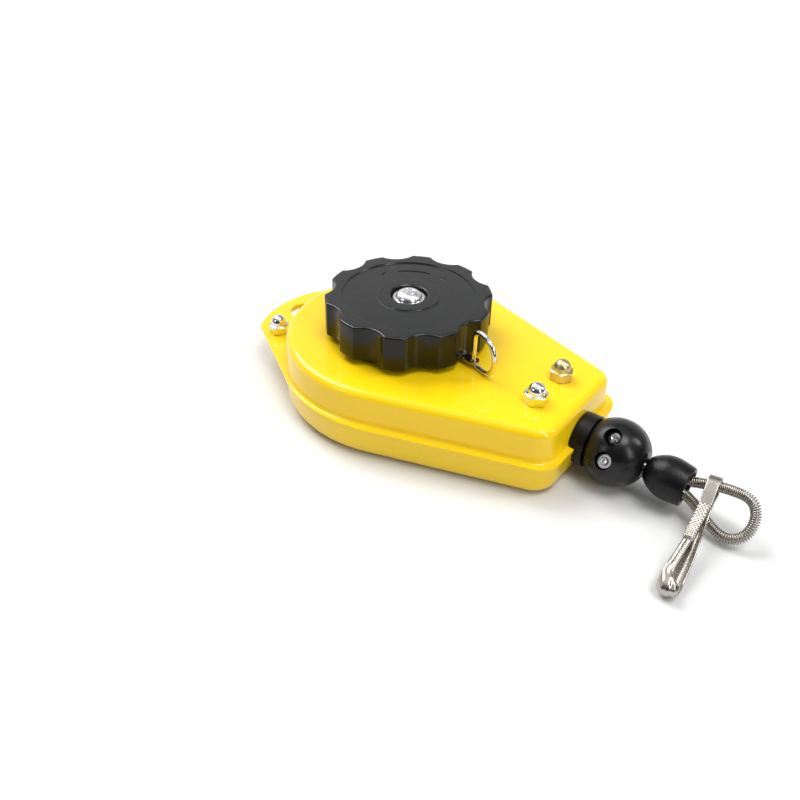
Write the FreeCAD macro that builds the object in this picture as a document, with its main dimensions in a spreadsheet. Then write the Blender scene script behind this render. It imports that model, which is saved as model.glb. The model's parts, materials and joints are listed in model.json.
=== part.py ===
import FreeCAD, Part
import math
import os
import Sketcher
from FreeCAD import Vector, Placement, Rotation

# Spring balancer for light hand tools.
# Frame: origin on the winding shaft's axis at the outer back face, +Z out of the tension knob,
# +X towards the cable outlet, millimetres.

os.makedirs("parts", exist_ok=True)
doc = FreeCAD.newDocument("tool_balancer")

# ---------------------------------------------------------------- driving dimensions
SIZES = [
    ("sheet_t", 1.2, "sheet thickness of both shells"),
    ("seam_z", 14.0, "height of the joint between the shells"),
    ("top_z", 29.2, "height of the front cover's flat top"),
    ("rim_r", 53.8, "flange radius about the shaft"),
    ("rear_back", 0.5, "rear flange stands back from the front one by"),
    ("tub_r", 52.0, "rear shell radius at its floor"),
    ("dome_r", 51.43, "front cover wall radius at the flange"),
    ("dome_cx", -1.7, "centre of the front cover's back arc"),
    ("side_angle", 18.0, "taper of each straight side, degrees"),
    ("nose_x", 87.3, "nose end of the flange"),
    ("tub_nose_x", 85.5, "nose end of the rear shell at its floor"),
    ("dome_nose_x", 84.6, "nose end of the front cover wall at the flange"),
    ("corner_r", 10.0, "corner radius at the nose"),
    ("ear_angle", 32.2, "angle of each straight side of the ear, degrees"),
    ("ear_cx", -31.7, "centre of the ear's end arc"),
    ("ear_end_r", 42.0, "radius of the ear's end arc"),
    ("ear_corner_r", 2.6, "corner radius of the ear"),
    ("dome_draft", 3.5, "draft of the front cover wall, degrees"),
    ("tub_draft", 5.5, "draft of the rear shell wall, degrees"),
    ("dome_fillet", 3.4, "outer edge radius of the front cover's top"),
    ("tub_fillet", 6.0, "outer edge radius of the rear shell's floor"),
    ("hang_x", -61.53, "suspension hole, distance from the shaft"),
    ("hang_r", 6.75, "suspension hole radius"),
    ("nose_bolt_x", 68.4, "nose bolts, distance from the shaft"),
    ("nose_bolt_y", 10.0, "nose bolts, half their spacing"),
    ("ear_bolt_x", -57.97, "ear bolts, distance from the shaft"),
    ("ear_bolt_y", 20.39, "ear bolts, half their spacing"),
    ("bolt_r", 2.5, "nose bolt shank radius, M5"),
    ("bolt5_r", 2.5, "ear bolt shank radius, M5"),
    ("nut_af", 8.7, "nose cap nut across flats"),
    ("nut5_af", 8.0, "ear cap nut across flats"),
    ("axis_z", 13.7, "height of the cable's axis at the outlet"),
    ("shaft_r", 5.0, "winding shaft radius"),
    ("run_gap", 0.05, "radial running clearance of shafts"),
    ("drum_r", 43.0, "cable centreline radius on the drum"),
    ("rope_r", 1.25, "wire rope radius"),
    ("flange_r", 46.0, "drum flange radius"),
    ("knob_r", 35.0, "tension knob radius over its lobes"),
    ("knob_z", 32.0, "lower edge of the knob skirt"),
    ("knob_top", 47.2, "top of the knob"),
    ("lobe_count", 10, "lobes of the knob"),
    ("scallop_r", 10.0, "radius of each scallop"),
    ("scallop_depth", 3.2, "depth of each scallop"),
    ("ratchet_r", 15.0, "ratchet wheel tip radius"),
    ("ratchet_n", 12, "ratchet teeth"),
    ("pawl_w", 4.8, "pawl strip width"),
    ("pawl_t", 0.6, "pawl strip thickness"),
    ("pawl_z", 31.3, "underside of the pawl strip"),
    ("pawl_angle", -7.5, "direction of the pawl about the shaft, degrees"),
    ("ring_x", 36.7, "pull ring pivot, distance from the shaft"),
    ("ring_wire_r", 1.0, "pull ring wire radius"),
    ("ball_x", 100.2, "stop ball centre"),
    ("ball_r", 13.4, "stop ball radius"),
    ("sleeve_len", 16.9, "ferrule sleeve length"),
    ("sleeve_r", 8.55, "ferrule sleeve radius"),
    ("spring_r", 2.15, "loop spring outer radius"),
    ("hook_w", 7.2, "snap hook strip width"),
    ("hook_t", 0.9, "snap hook strip thickness"),
]
sheet = doc.addObject("Spreadsheet::Sheet", "Sheet")
for row, (alias, value, note) in enumerate(SIZES, start=1):
    sheet.set("A%d" % row, alias)
    sheet.set("B%d" % row, str(value))
    sheet.setAlias("B%d" % row, alias)
    sheet.set("C%d" % row, note)
doc.recompute()


class Q:
    """A size with its number and the sheet expression that gives it."""

    def __init__(self, v, e):
        self.v, self.e = float(v), e

    def __add__(self, o):
        o = q(o)
        return Q(self.v + o.v, "(%s + %s)" % (self.e, o.e))

    def __sub__(self, o):
        o = q(o)
        return Q(self.v - o.v, "(%s - %s)" % (self.e, o.e))

    def __mul__(self, o):
        o = q(o)
        return Q(self.v * o.v, "(%s * %s)" % (self.e, o.e))

    def __truediv__(self, o):
        o = q(o)
        return Q(self.v / o.v, "(%s / %s)" % (self.e, o.e))

    def __neg__(self):
        return Q(-self.v, "(0 - %s)" % self.e)

    def __radd__(self, o):
        return q(o) + self

    def __rsub__(self, o):
        return q(o) - self

    def __rmul__(self, o):
        return q(o) * self


def q(x):
    return x if isinstance(x, Q) else Q(x, repr(float(x)) if x >= 0 else "(%r)" % float(x))


class Names:
    pass


S = Names()
for alias, value, note in SIZES:
    setattr(S, alias, Q(value, "Sheet." + alias))
V = {alias: float(value) for alias, value, note in SIZES}

NODES = {}  # node name -> document object whose shape is written


def node(name, obj):
    obj.Label = name
    NODES[name] = obj
    return obj


def bind(obj, prop, value):
    value = q(value)
    if "Sheet." in value.e:
        obj.setExpression(prop, value.e)
    else:
        setattr(obj, prop, int(value.v) if prop == "Occurrences" else value.v)


def body(name):
    b = doc.addObject("PartDesign::Body", name)
    return node(name, b)


def plane(b, role):
    return [f for f in b.Origin.OriginFeatures if f.Role == role][0]


def sketch(b, name, role="XY_Plane", offset=0.0):
    s = b.newObject("Sketcher::SketchObject", b.Name + "_" + name)
    s.AttachmentSupport = [(plane(b, role), "")]
    s.MapMode = "FlatFace"
    off = q(offset)
    s.AttachmentOffset = Placement(Vector(0, 0, off.v), Rotation())
    if "Sheet." in off.e:
        s.setExpression("AttachmentOffset.Base.z", off.e)
    return s


def fix_point(s, geo, pos, x, y):
    """Ties a sketch point to the sketch's origin by its two coordinates."""
    for kind, axis, val in (("DistanceX", -2, q(x)), ("DistanceY", -1, q(y))):
        if "Sheet." not in val.e and abs(val.v) < 1e-9:
            s.addConstraint(Sketcher.Constraint("PointOnObject", geo, pos, axis))
        else:
            i = s.addConstraint(Sketcher.Constraint(kind, -1, 1, geo, pos, val.v))
            if "Sheet." in val.e:
                s.setExpression("Constraints[%d]" % i, val.e)


def polygon(s, pts):
    """A closed polygon whose corners are bound to the sheet."""
    pts = [(q(x), q(y)) for x, y in pts]
    n = len(pts)
    first = s.GeometryCount
    for k in range(n):
        a, c = pts[k], pts[(k + 1) % n]
        s.addGeometry(Part.LineSegment(Vector(a[0].v, a[1].v, 0), Vector(c[0].v, c[1].v, 0)), False)
    for k in range(n):
        s.addConstraint(Sketcher.Constraint("Coincident", first + k, 2, first + (k + 1) % n, 1))
    for k in range(n):
        fix_point(s, first + k, 1, *pts[k])


def circle(s, x, y, r):
    x, y, r = q(x), q(y), q(r)
    g = s.addGeometry(Part.Circle(Vector(x.v, y.v, 0), Vector(0, 0, 1), r.v), False)
    i = s.addConstraint(Sketcher.Constraint("Radius", g, r.v))
    if "Sheet." in r.e:
        s.setExpression("Constraints[%d]" % i, r.e)
    if "Sheet." not in x.e and "Sheet." not in y.e and abs(x.v) < 1e-9 and abs(y.v) < 1e-9:
        s.addConstraint(Sketcher.Constraint("Coincident", g, 3, -1, 1))
    else:
        fix_point(s, g, 3, x, y)
    return g


def pad(b, s, length, taper=0.0, down=False):
    p = b.newObject("PartDesign::Pad", s.Name + "_pad")
    p.Profile = s
    bind(p, "Length", length)
    if q(taper).v:
        bind(p, "TaperAngle", taper)
    p.Reversed = down
    s.Visibility = False
    return p


def pocket(b, s, length=None, taper=0.0, up=False, through=False):
    p = b.newObject("PartDesign::Pocket", s.Name + "_pocket")
    p.Profile = s
    if through:
        p.Type = 1
        p.Midplane = True
    else:
        bind(p, "Length", length)
    if q(taper).v:
        bind(p, "TaperAngle", taper)
    p.Reversed = up
    s.Visibility = False
    return p


def revolve(b, s, axis="V_Axis"):
    r = b.newObject("PartDesign::Revolution", s.Name + "_rev")
    r.Profile = s
    r.ReferenceAxis = (s, [axis])
    r.Angle = 360.0
    s.Visibility = False
    return r


def groove(b, s, axis="V_Axis"):
    r = b.newObject("PartDesign::Groove", s.Name + "_groove")
    r.Profile = s
    r.ReferenceAxis = (s, [axis])
    r.Angle = 360.0
    s.Visibility = False
    return r


def turned(name, pts, axis="V_Axis"):
    """A turned piece: its half section in the XZ plane, turned about Z (V_Axis) or X (H_Axis)."""
    b = body(name)
    s = sketch(b, "section", "XZ_Plane")
    polygon(s, pts)
    revolve(b, s, axis)
    return b


def mirrored(b, feature, role="XZ_Plane"):
    m = b.newObject("PartDesign::Mirrored", b.Name + "_mirror")
    m.Originals = [feature] if not isinstance(feature, list) else feature
    m.MirrorPlane = (plane(b, role), [""])
    b.Tip = m
    return m


def polar(b, features, count, axis=None):
    m = b.newObject("PartDesign::PolarPattern", b.Name + "_polar")
    m.Originals = features
    m.Axis = (plane(b, "Z_Axis"), [""])
    m.Angle = 360
    bind(m, "Occurrences", count)
    b.Tip = m
    return m


def tangent_outline(s, R, angle, x_end, rc, ear=None, cx=0.0):
    """Outline of the housing in plan: a big arc about the shaft, straight sides tangent to it
    that close towards the nose, two nose corners, and the nose end line.
    With ear=(angle, centre x, end radius, corner radius) the arc opens at the back into the ear."""
    R, angle, x_end, rc, cx = q(R), q(angle), q(x_end), q(rc), q(cx)
    a = math.radians(angle.v)
    sn, cs = math.sin(a), math.cos(a)
    t0 = math.pi / 2 - a  # tangent point of the upper side
    ccx = x_end.v - rc.v
    ccy = (R.v - rc.v - (ccx - cx.v) * sn) / cs
    T = (cx.v + R.v * math.cos(t0), R.v * math.sin(t0))
    L1 = (ccx + rc.v * sn, ccy + rc.v * cs)  # side line meets the corner arc
    L2 = (x_end.v, ccy)
    n0 = s.GeometryCount

    def arc(cx, cy, r, a0, a1):
        return s.addGeometry(Part.ArcOfCircle(Part.Circle(Vector(cx, cy, 0), Vector(0, 0, 1), r), a0, a1), False)

    def line(p, r):
        return s.addGeometry(Part.LineSegment(Vector(p[0], p[1], 0), Vector(r[0], r[1], 0)), False)

    con = Sketcher.Constraint

    def valued(kind, args, value):
        i = s.addConstraint(con(kind, *args, value.v))
        if "Sheet." in value.e:
            s.setExpression("Constraints[%d]" % i, value.e)

    end = line((x_end.v, -ccy), L2)
    up_corner = arc(ccx, ccy, rc.v, 0.0, t0)
    up_side = line(L1, T)
    lo_corner = arc(ccx, -ccy, rc.v, -t0, 0.0)
    lo_side = line((T[0], -T[1]), (L1[0], -L1[1]))
    s.addConstraint(con("Tangent", end, 2, up_corner, 1))
    s.addConstraint(con("Tangent", up_corner, 2, up_side, 1))
    s.addConstraint(con("Tangent", end, 1, lo_corner, 2))
    s.addConstraint(con("Tangent", lo_corner, 1, lo_side, 2))
    s.addConstraint(con("Equal", up_corner, lo_corner))
    s.addConstraint(con("Symmetric", end, 1, end, 2, -1))
    valued("Radius", (up_corner,), rc)
    valued("DistanceX", (-1, 1, end, 1), x_end)
    if ear is None:
        back = arc(cx.v, 0, R.v, t0, 2 * math.pi - t0)
        s.addConstraint(con("Tangent", up_side, 2, back, 1))
        s.addConstraint(con("Tangent", back, 2, lo_side, 1))
        if cx.v:
            s.addConstraint(con("PointOnObject", back, 3, -1))
            valued("DistanceX", (-1, 1, back, 3), cx)
        else:
            s.addConstraint(con("Coincident", back, 3, -1, 1))
        valued("Radius", (back,), R)
    else:
        ea, ecx, er, ec = [q(v) for v in ear]
        e = math.radians(ea.v)
        te = math.pi / 2 + e  # tangent point of the ear's straight side
        E0 = (R.v * math.cos(te), R.v * math.sin(te))
        # corner arc of radius ec, inside the side line and inside the end arc
        d = (-math.cos(e), -math.sin(e))  # along the side, away from the big arc
        nrm = (math.cos(te), math.sin(te))
        k0 = ((R.v - ec.v) * nrm[0], (R.v - ec.v) * nrm[1])
        # distance from the end arc's centre is er - ec
        bx, by = k0[0] - ecx.v, k0[1]
        B = bx * d[0] + by * d[1]
        C = bx * bx + by * by - (er.v - ec.v) ** 2
        t = -B + math.sqrt(B * B - C)
        K = (k0[0] + d[0] * t, k0[1] + d[1] * t)
        ang = math.atan2(K[1], K[0] - ecx.v)
        P1 = (K[0] + ec.v * nrm[0], K[1] + ec.v * nrm[1])
        up_arc = arc(0, 0, R.v, t0, te)
        up_ear = line(E0, P1)
        up_ec = arc(K[0], K[1], ec.v, te, ang)
        end_arc = arc(ecx.v, 0, er.v, ang, 2 * math.pi - ang)
        lo_ec = arc(K[0], -K[1], ec.v, 2 * math.pi - ang, 2 * math.pi - te)
        lo_ear = line((P1[0], -P1[1]), (E0[0], -E0[1]))
        lo_arc = arc(0, 0, R.v, 2 * math.pi - te, 2 * math.pi - t0)
        s.addConstraint(con("Tangent", up_side, 2, up_arc, 1))
        s.addConstraint(con("Tangent", up_arc, 2, up_ear, 1))
        s.addConstraint(con("Tangent", up_ear, 2, up_ec, 1))
        s.addConstraint(con("Tangent", up_ec, 2, end_arc, 1))
        s.addConstraint(con("Tangent", end_arc, 2, lo_ec, 1))
        s.addConstraint(con("Tangent", lo_ec, 2, lo_ear, 1))
        s.addConstraint(con("Tangent", lo_ear, 2, lo_arc, 1))
        s.addConstraint(con("Tangent", lo_arc, 2, lo_side, 1))
        s.addConstraint(con("Coincident", up_arc, 3, -1, 1))
        s.addConstraint(con("Coincident", lo_arc, 3, -1, 1))
        s.addConstraint(con("PointOnObject", end_arc, 3, -1))
        s.addConstraint(con("Equal", up_arc, lo_arc))
        s.addConstraint(con("Equal", up_ec, lo_ec))
        valued("Radius", (up_arc,), R)
        valued("Radius", (up_ec,), ec)
        valued("Radius", (end_arc,), er)
        valued("DistanceX", (-1, 1, end_arc, 3), ecx)
        valued("DistanceX", (-1, 1, up_arc, 2), Q(E0[0], "(0 - %s * sin(%s * 1 deg))" % (R.e, ea.e)))
        valued("DistanceX", (-1, 1, lo_arc, 1), Q(E0[0], "(0 - %s * sin(%s * 1 deg))" % (R.e, ea.e)))
    # the taper of the straight sides, through the height of their tangent points
    valued("DistanceX", (-1, 1, up_side, 2), Q(T[0], "(%s + %s * sin(%s * 1 deg))" % (cx.e, R.e, angle.e)))


def edges_where(shape, test):
    return ["Edge%d" % (i + 1) for i, e in enumerate(shape.Edges) if test(e)]


def fillet(b, radius, test):
    doc.recompute()
    base = b.Tip
    f = b.newObject("PartDesign::Fillet", b.Name + "_fillet%d" % len(b.Group))
    f.Base = (base, edges_where(base.Shape, test))
    bind(f, "Radius", radius)
    return f


# ---------------------------------------------------------------- paths and sweeps
RADII = {}


def rounded_path(pts, share=0.45, label=None, radii=None):
    """Straight runs joined by tangent arcs. Each arc's radius is share of the shorter run
    divided by the tangent of half the turn."""
    pts = [Vector(*p) for p in pts]
    edges, last, used = [], pts[0], []
    for k in range(1, len(pts) - 1):
        a, p, c = pts[k - 1], pts[k], pts[k + 1]
        u, w = (a - p).normalize(), (c - p).normalize()
        half_turn = (math.pi - u.getAngle(w)) / 2
        if half_turn < 1e-3:
            raise ValueError("three points in line at %s" % p)
        cut = share * min((a - p).Length, (c - p).Length)
        r = cut / math.tan(half_turn)
        if radii and radii.get(k):
            r = radii[k]
            cut = r * math.tan(half_turn)
        used.append(r)
        s0, s1 = p + u * cut, p + w * cut
        mid = (u + w).normalize()
        centre = p + mid * (r / math.cos(half_turn))
        m = centre - mid * r
        if (s0 - last).Length > 1e-6:
            edges.append(Part.LineSegment(last, s0).toShape())
        edges.append(Part.Arc(s0, m, s1).toShape())
        last = s1
    if (pts[-1] - last).Length > 1e-6:
        edges.append(Part.LineSegment(last, pts[-1]).toShape())
    if label:
        RADII[label] = used
    return Part.Wire(edges)


def sweep(path, section):
    return path.makePipeShell([section], True, False)


def round_section(at, direction, r):
    return Part.Wire([Part.Circle(at, direction, r).toShape()])


def rope(pts, r, label, bore=None, radii=None):
    path = rounded_path(pts, label=label, radii=radii)
    start, ahead = Vector(*pts[0]), (Vector(*pts[1]) - Vector(*pts[0]))
    solid = sweep(path, round_section(start, ahead, r))
    expected = math.pi * r * r * path.Length
    if bore:
        solid = solid.cut(sweep(path, round_section(start, ahead, bore)))
        expected -= math.pi * bore * bore * path.Length
    print("%s: length %.1f, volume %.1f, section times length %.1f" % (label, path.Length, solid.Volume, expected))
    return solid


def feature(name, shape, placement=None):
    f = doc.addObject("Part::Feature", name)
    if shape.ShapeType in ("Compound", "Shell") and len(shape.Solids) == 1:
        shape = shape.Solids[0]
    f.Shape = shape
    if placement is not None:
        f.Placement = placement
    return node(name, f)


def hexagon(s, x, y, af):
    """A regular hexagon, flats parallel to Y, bound to its size across flats."""
    pts = []
    for k in range(6):
        t = math.radians(30 + 60 * k)
        pts.append((q(x) + q(af) * (math.cos(t) / math.sqrt(3)), q(y) + q(af) * (math.sin(t) / math.sqrt(3))))
    polygon(s, pts)


# the ear's hole and bolts lie on a line turned a little about the shaft
EAR_TURN = Placement(Vector(0, 0, 0), Rotation(Vector(0, 0, 1), -1.86))
ear_c, ear_s = math.cos(math.radians(-1.86)), math.sin(math.radians(-1.86))


def on_ear(x, y):
    x, y = q(x), q(y)
    return x * ear_c - y * ear_s, x * ear_s + y * ear_c


# ================================================================ housing
# ---- rear shell: drawn tub with an outward flange and half of the hanging ear
b = body("rear_shell")
s = sketch(b, "floor")
tangent_outline(s, S.tub_r, S.side_angle, S.tub_nose_x, S.corner_r)
pad(b, s, S.seam_z - S.sheet_t, S.tub_draft)
s = sketch(b, "inside", offset=S.sheet_t)
tangent_outline(s, S.tub_r - S.sheet_t + 0.1, S.side_angle, S.tub_nose_x - S.sheet_t + 0.1, S.corner_r - 1.0)
pocket(b, s, S.seam_z - S.sheet_t, S.tub_draft, up=True)
fillet(b, S.tub_fillet - S.sheet_t, lambda e: abs(e.BoundBox.ZMax - V["sheet_t"]) < 0.01 and e.BoundBox.ZLength < 0.01)
fillet(b, S.tub_fillet, lambda e: e.BoundBox.ZMax < 0.01)
s = sketch(b, "flange", offset=S.seam_z - S.sheet_t)
tangent_outline(s, S.rim_r - S.rear_back, S.side_angle, S.nose_x - S.rear_back, S.corner_r, ear=(S.ear_angle, S.ear_cx, S.ear_end_r - S.rear_back, S.ear_corner_r))
tangent_outline(s, S.tub_r, S.side_angle, S.tub_nose_x, S.corner_r)
pad(b, s, S.sheet_t)
# dimples for the nose bolts' heads, and the seat of the outlet grommet
s = sketch(b, "dimples", offset=0.5)
circle(s, S.nose_bolt_x, S.nose_bolt_y, 7.4)
circle(s, S.nose_bolt_x, -S.nose_bolt_y, 7.4)
pad(b, s, 4.1)
s = sketch(b, "dimple_bores")
circle(s, S.nose_bolt_x, S.nose_bolt_y, 6.2)
circle(s, S.nose_bolt_x, -S.nose_bolt_y, 6.2)
pocket(b, s, 3.4, up=True)
# the seat: a half disc below the seam, standing in the YZ plane
s = sketch(b, "seat", "YZ_Plane", offset=83.0)
g0 = s.addGeometry(Part.ArcOfCircle(Part.Circle(Vector(0, 13.7, 0), Vector(0, 0, 1), 11.6), math.pi, 2 * math.pi), False)
g1 = s.addGeometry(Part.LineSegment(Vector(11.6, 13.7, 0), Vector(-11.6, 13.7, 0)), False)
s.addConstraint(Sketcher.Constraint("Coincident", g0, 2, g1, 1))
s.addConstraint(Sketcher.Constraint("Coincident", g1, 2, g0, 1))
s.addConstraint(Sketcher.Constraint("Radius", g0, 11.6))
s.addConstraint(Sketcher.Constraint("PointOnObject", g0, 3, -2))
i = s.addConstraint(Sketcher.Constraint("DistanceY", -1, 1, g0, 3, 13.7))
s.setExpression("Constraints[%d]" % i, "Sheet.axis_z")
s.addConstraint(Sketcher.Constraint("Horizontal", g1))
s.addConstraint(Sketcher.Constraint("PointOnObject", g0, 3, g1))
pad(b, s, 2.8)
s = sketch(b, "seat_bore", "YZ_Plane", offset=84.2)
circle(s, 0, S.axis_z, 10.6)
pocket(b, s, 6.0, up=True)
s = sketch(b, "neck", "YZ_Plane", offset=80.0)
circle(s, 0, S.axis_z, 8.1)
pocket(b, s, 8.0, up=True)
s = sketch(b, "holes")
circle(s, *on_ear(S.hang_x, 0), S.hang_r)
for k in (1, -1):
    circle(s, S.nose_bolt_x, S.nose_bolt_y * k, S.bolt_r + 0.3)
    circle(s, *on_ear(S.ear_bolt_x, S.ear_bolt_y * k), S.bolt5_r + 0.25)
pocket(b, s, through=True)

# ---- front cover: drawn dome with the same flange and ear
b = body("front_cover")
s = sketch(b, "flange", offset=S.seam_z)
tangent_outline(s, S.rim_r, S.side_angle, S.nose_x, S.corner_r, ear=(S.ear_angle, S.ear_cx, S.ear_end_r, S.ear_corner_r))
pad(b, s, S.sheet_t)
s = sketch(b, "dome", offset=S.seam_z)
tangent_outline(s, S.dome_r, S.side_angle, S.dome_nose_x, S.corner_r - 1.0, cx=S.dome_cx)
pad(b, s, S.top_z - S.seam_z, -S.dome_draft)
fillet(b, S.dome_fillet, lambda e: e.BoundBox.ZMin > V["top_z"] - 0.01)
def at_foot(e):
    """The edges where the dome's wall meets the flange."""
    m = e.valueAt((e.FirstParameter + e.LastParameter) / 2)
    if abs(e.BoundBox.ZMin - V["seam_z"] - V["sheet_t"]) > 0.01 or e.BoundBox.ZLength > 0.01 or m.x > 85.0:
        return False
    a = math.radians(V["side_angle"])
    return math.hypot(m.x, m.y) < 53.5 if m.x < 16 else m.x * math.sin(a) + abs(m.y) * math.cos(a) < 52.5


fillet(b, 1.3, at_foot)
s = sketch(b, "inside", offset=S.seam_z)
tangent_outline(s, S.dome_r - S.sheet_t, S.side_angle, S.dome_nose_x - S.sheet_t, S.corner_r - 2.0, cx=S.dome_cx)
pocket(b, s, S.top_z - S.seam_z - S.sheet_t, -S.dome_draft, up=True)
fillet(b, S.dome_fillet - S.sheet_t, lambda e: abs(e.BoundBox.ZMin - (V["top_z"] - V["sheet_t"])) < 0.01 and e.BoundBox.ZLength < 0.01)
s = sketch(b, "seat_bore", "YZ_Plane", offset=84.2)
circle(s, 0, S.axis_z, 10.6)
pocket(b, s, 6.0, up=True)
s = sketch(b, "neck", "YZ_Plane", offset=80.0)
circle(s, 0, S.axis_z, 8.1)
pocket(b, s, 8.0, up=True)
s = sketch(b, "holes")
circle(s, 0, 0, 7.0)
circle(s, *on_ear(S.hang_x, 0), S.hang_r)
for k in (1, -1):
    circle(s, S.nose_bolt_x, S.nose_bolt_y * k, S.bolt_r + 0.3)
    circle(s, *on_ear(S.ear_bolt_x, S.ear_bolt_y * k), S.bolt5_r + 0.25)
pocket(b, s, through=True)

# ---- bolts, cap nuts and spacers, each pair mirrored about the XZ plane
b = body("nose_bolts")
s = sketch(b, "head", offset=0.5)
circle(s, S.nose_bolt_x, -S.nose_bolt_y, 5.5)
f1 = pad(b, s, 2.9)
s = sketch(b, "shank", offset=2.0)
circle(s, S.nose_bolt_x, -S.nose_bolt_y, S.bolt_r)
f2 = pad(b, s, S.top_z + 5.5 - 2.0)
mirrored(b, [f1, f2])

b = body("ear_bolts")
s = sketch(b, "head", offset=S.seam_z - S.sheet_t - 3.5)
hexagon(s, S.ear_bolt_x, -S.ear_bolt_y, S.nut5_af)
f1 = pad(b, s, 3.5)
s = sketch(b, "shank", offset=S.seam_z - S.sheet_t - 1.0)
circle(s, S.ear_bolt_x, -S.ear_bolt_y, S.bolt5_r)
f2 = pad(b, s, S.sheet_t * 2.0 + 1.0 + 4.6)
mirrored(b, [f1, f2])
b.Placement = EAR_TURN


def cap_nuts(name, x, y, base, af, hex_h, dome_r, total, bore):
    """Domed cap nuts: a hexagon and a half-ball dome over a blind bore."""
    b = body(name)
    s = sketch(b, "hex", offset=base)
    hexagon(s, x, -q(y), af)
    f1 = pad(b, s, hex_h)
    s = sketch(b, "neck", offset=base)
    circle(s, x, -q(y), dome_r)
    f2 = pad(b, s, total)
    doc.recompute()
    top = q(base).v + total
    f3 = b.newObject("PartDesign::Fillet", name + "_dome")
    f3.Base = (f2, edges_where(f2.Shape, lambda e: e.BoundBox.ZMin > top - 0.01))
    f3.Radius = dome_r - 0.25
    s = sketch(b, "bore", offset=base)
    circle(s, x, -q(y), bore)
    f4 = pocket(b, s, total - 2.0, up=True)
    doc.recompute()
    # the second nut is the first one mirrored about the XZ plane
    m = b.newObject("PartDesign::Mirrored", name + "_mirror")
    m.TransformMode = 1  # the whole shape
    m.MirrorPlane = (plane(b, "XZ_Plane"), [""])
    b.Tip = m
    return b


cap_nuts("nose_cap_nuts", S.nose_bolt_x, S.nose_bolt_y, S.top_z, S.nut_af, 4.2, 3.6, 8.4, S.bolt_r + 0.02)
cap_nuts("ear_cap_nuts", S.ear_bolt_x, S.ear_bolt_y, S.seam_z + S.sheet_t, S.nut5_af, 4.0, 3.4, 8.2, S.bolt5_r + 0.02).Placement = EAR_TURN

b = body("nose_spacers")
s = sketch(b, "tube", offset=4.6)
circle(s, S.nose_bolt_x, -S.nose_bolt_y, 4.2)
circle(s, S.nose_bolt_x, -S.nose_bolt_y, S.bolt_r + 0.1)
f1 = pad(b, s, S.top_z - S.sheet_t - 4.6)
mirrored(b, f1)

# ---- outlet grommet: flanged bush turned about the cable's axis, with a seat for the stop ball
b = turned(
    "outlet_grommet",
    [
        (81.2, 2.2), (86.5, 2.2), (87.15, 4.2), (87.95, 6.2), (89.1, 8.1), (90.4, 9.6), (90.4, 10.5),
        (84.2, 10.5), (84.2, 8.0), (82.7, 8.0), (82.7, 9.6), (81.2, 9.6),
    ],
    "H_Axis",
)
b.setExpression("Placement.Base.z", "Sheet.axis_z")

# ---- bearings of the winding shaft
turned("rear_bearing", [(S.shaft_r + S.run_gap, 1.2), (16, 1.2), (16, 2.3), (7.4, 2.3), (7.4, 3.5), (S.shaft_r + S.run_gap, 3.5)])
turned(
    "front_bearing",
    [
        (S.shaft_r + S.run_gap, S.top_z - 2.4), (14, S.top_z - 2.4), (14, S.top_z - S.sheet_t), (7.0, S.top_z - S.sheet_t),
        (7.0, S.top_z + 0.5), (S.shaft_r + S.run_gap, S.top_z + 0.5),
    ],
)

# ---- pawl guide: a bridge on the cover, under the knob, with its two rivets
pawl_turn = Placement(Vector(0, 0, 0), Rotation(Vector(0, 0, 1), V["pawl_angle"]))
b = body("pawl_guide")
s = sketch(b, "block", offset=S.top_z)
polygon(s, [(22, -8.3), (27.6, -8.3), (27.6, 8.3), (22, 8.3)])
pad(b, s, 3.9)
s = sketch(b, "slot", "YZ_Plane", offset=15.0)
polygon(
    s,
    [
        (-(S.pawl_w / 2.0) - 0.1, S.pawl_z - 0.06), (S.pawl_w / 2.0 + 0.1, S.pawl_z - 0.06),
        (S.pawl_w / 2.0 + 0.1, S.pawl_z + S.pawl_t + 0.06), (-(S.pawl_w / 2.0) - 0.1, S.pawl_z + S.pawl_t + 0.06),
    ],
)
pocket(b, s, 20.0, up=True)
s = sketch(b, "rivet_holes", offset=S.top_z)
circle(s, 24.8, 6, 1.2)
circle(s, 24.8, -6, 1.2)
pocket(b, s, 6.0, up=True)
b.Placement = pawl_turn
b = body("pawl_guide_rivets")
s = sketch(b, "shank", offset=S.top_z - S.sheet_t)
circle(s, 24.8, 6, 1.2)
f1 = pad(b, s, S.sheet_t + 3.9)
s = sketch(b, "head", offset=S.top_z + 3.9)
circle(s, 24.8, 6, 2.1)
f2 = pad(b, s, 0.9)
mirrored(b, [f1, f2])
b.Placement = pawl_turn
cover = doc.getObject("front_cover")
s = sketch(cover, "rivet_holes")
for k in (1, -1):
    t = math.radians(V["pawl_angle"])
    circle(s, 24.8 * math.cos(t) - 6 * k * math.sin(t), 24.8 * math.sin(t) + 6 * k * math.cos(t), 1.2)
pocket(cover, s, through=True)

# ================================================================ knob and winding shaft
b = body("tension_knob")
s = sketch(b, "blank", offset=S.knob_z)
circle(s, 0, 0, S.knob_r)
pad(b, s, S.knob_top - S.knob_z)
s = sketch(b, "scallop", offset=S.knob_z)
t = math.radians(27.0)
reach = S.knob_r - S.scallop_depth + S.scallop_r
circle(s, reach * math.cos(t), reach * math.sin(t), S.scallop_r)
f1 = pocket(b, s, S.knob_top - S.knob_z, up=True)
polar(b, [f1], S.lobe_count)
fillet(b, 0.7, lambda e: e.BoundBox.ZMin > V["knob_top"] - 0.01)
s = sketch(b, "top", "XZ_Plane")
polygon(s, [(0, S.knob_top + 1), (0, S.knob_top - 2.2), (7.8, S.knob_top - 2.2), (7.8, S.knob_top - 0.05), (13.2, S.knob_top - 0.05), (13.5, S.knob_top - 0.5), (27.6, S.knob_top - 0.5), (28.0, S.knob_top + 1)])
groove(b, s)
s = sketch(b, "hollow", "XZ_Plane")
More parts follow.
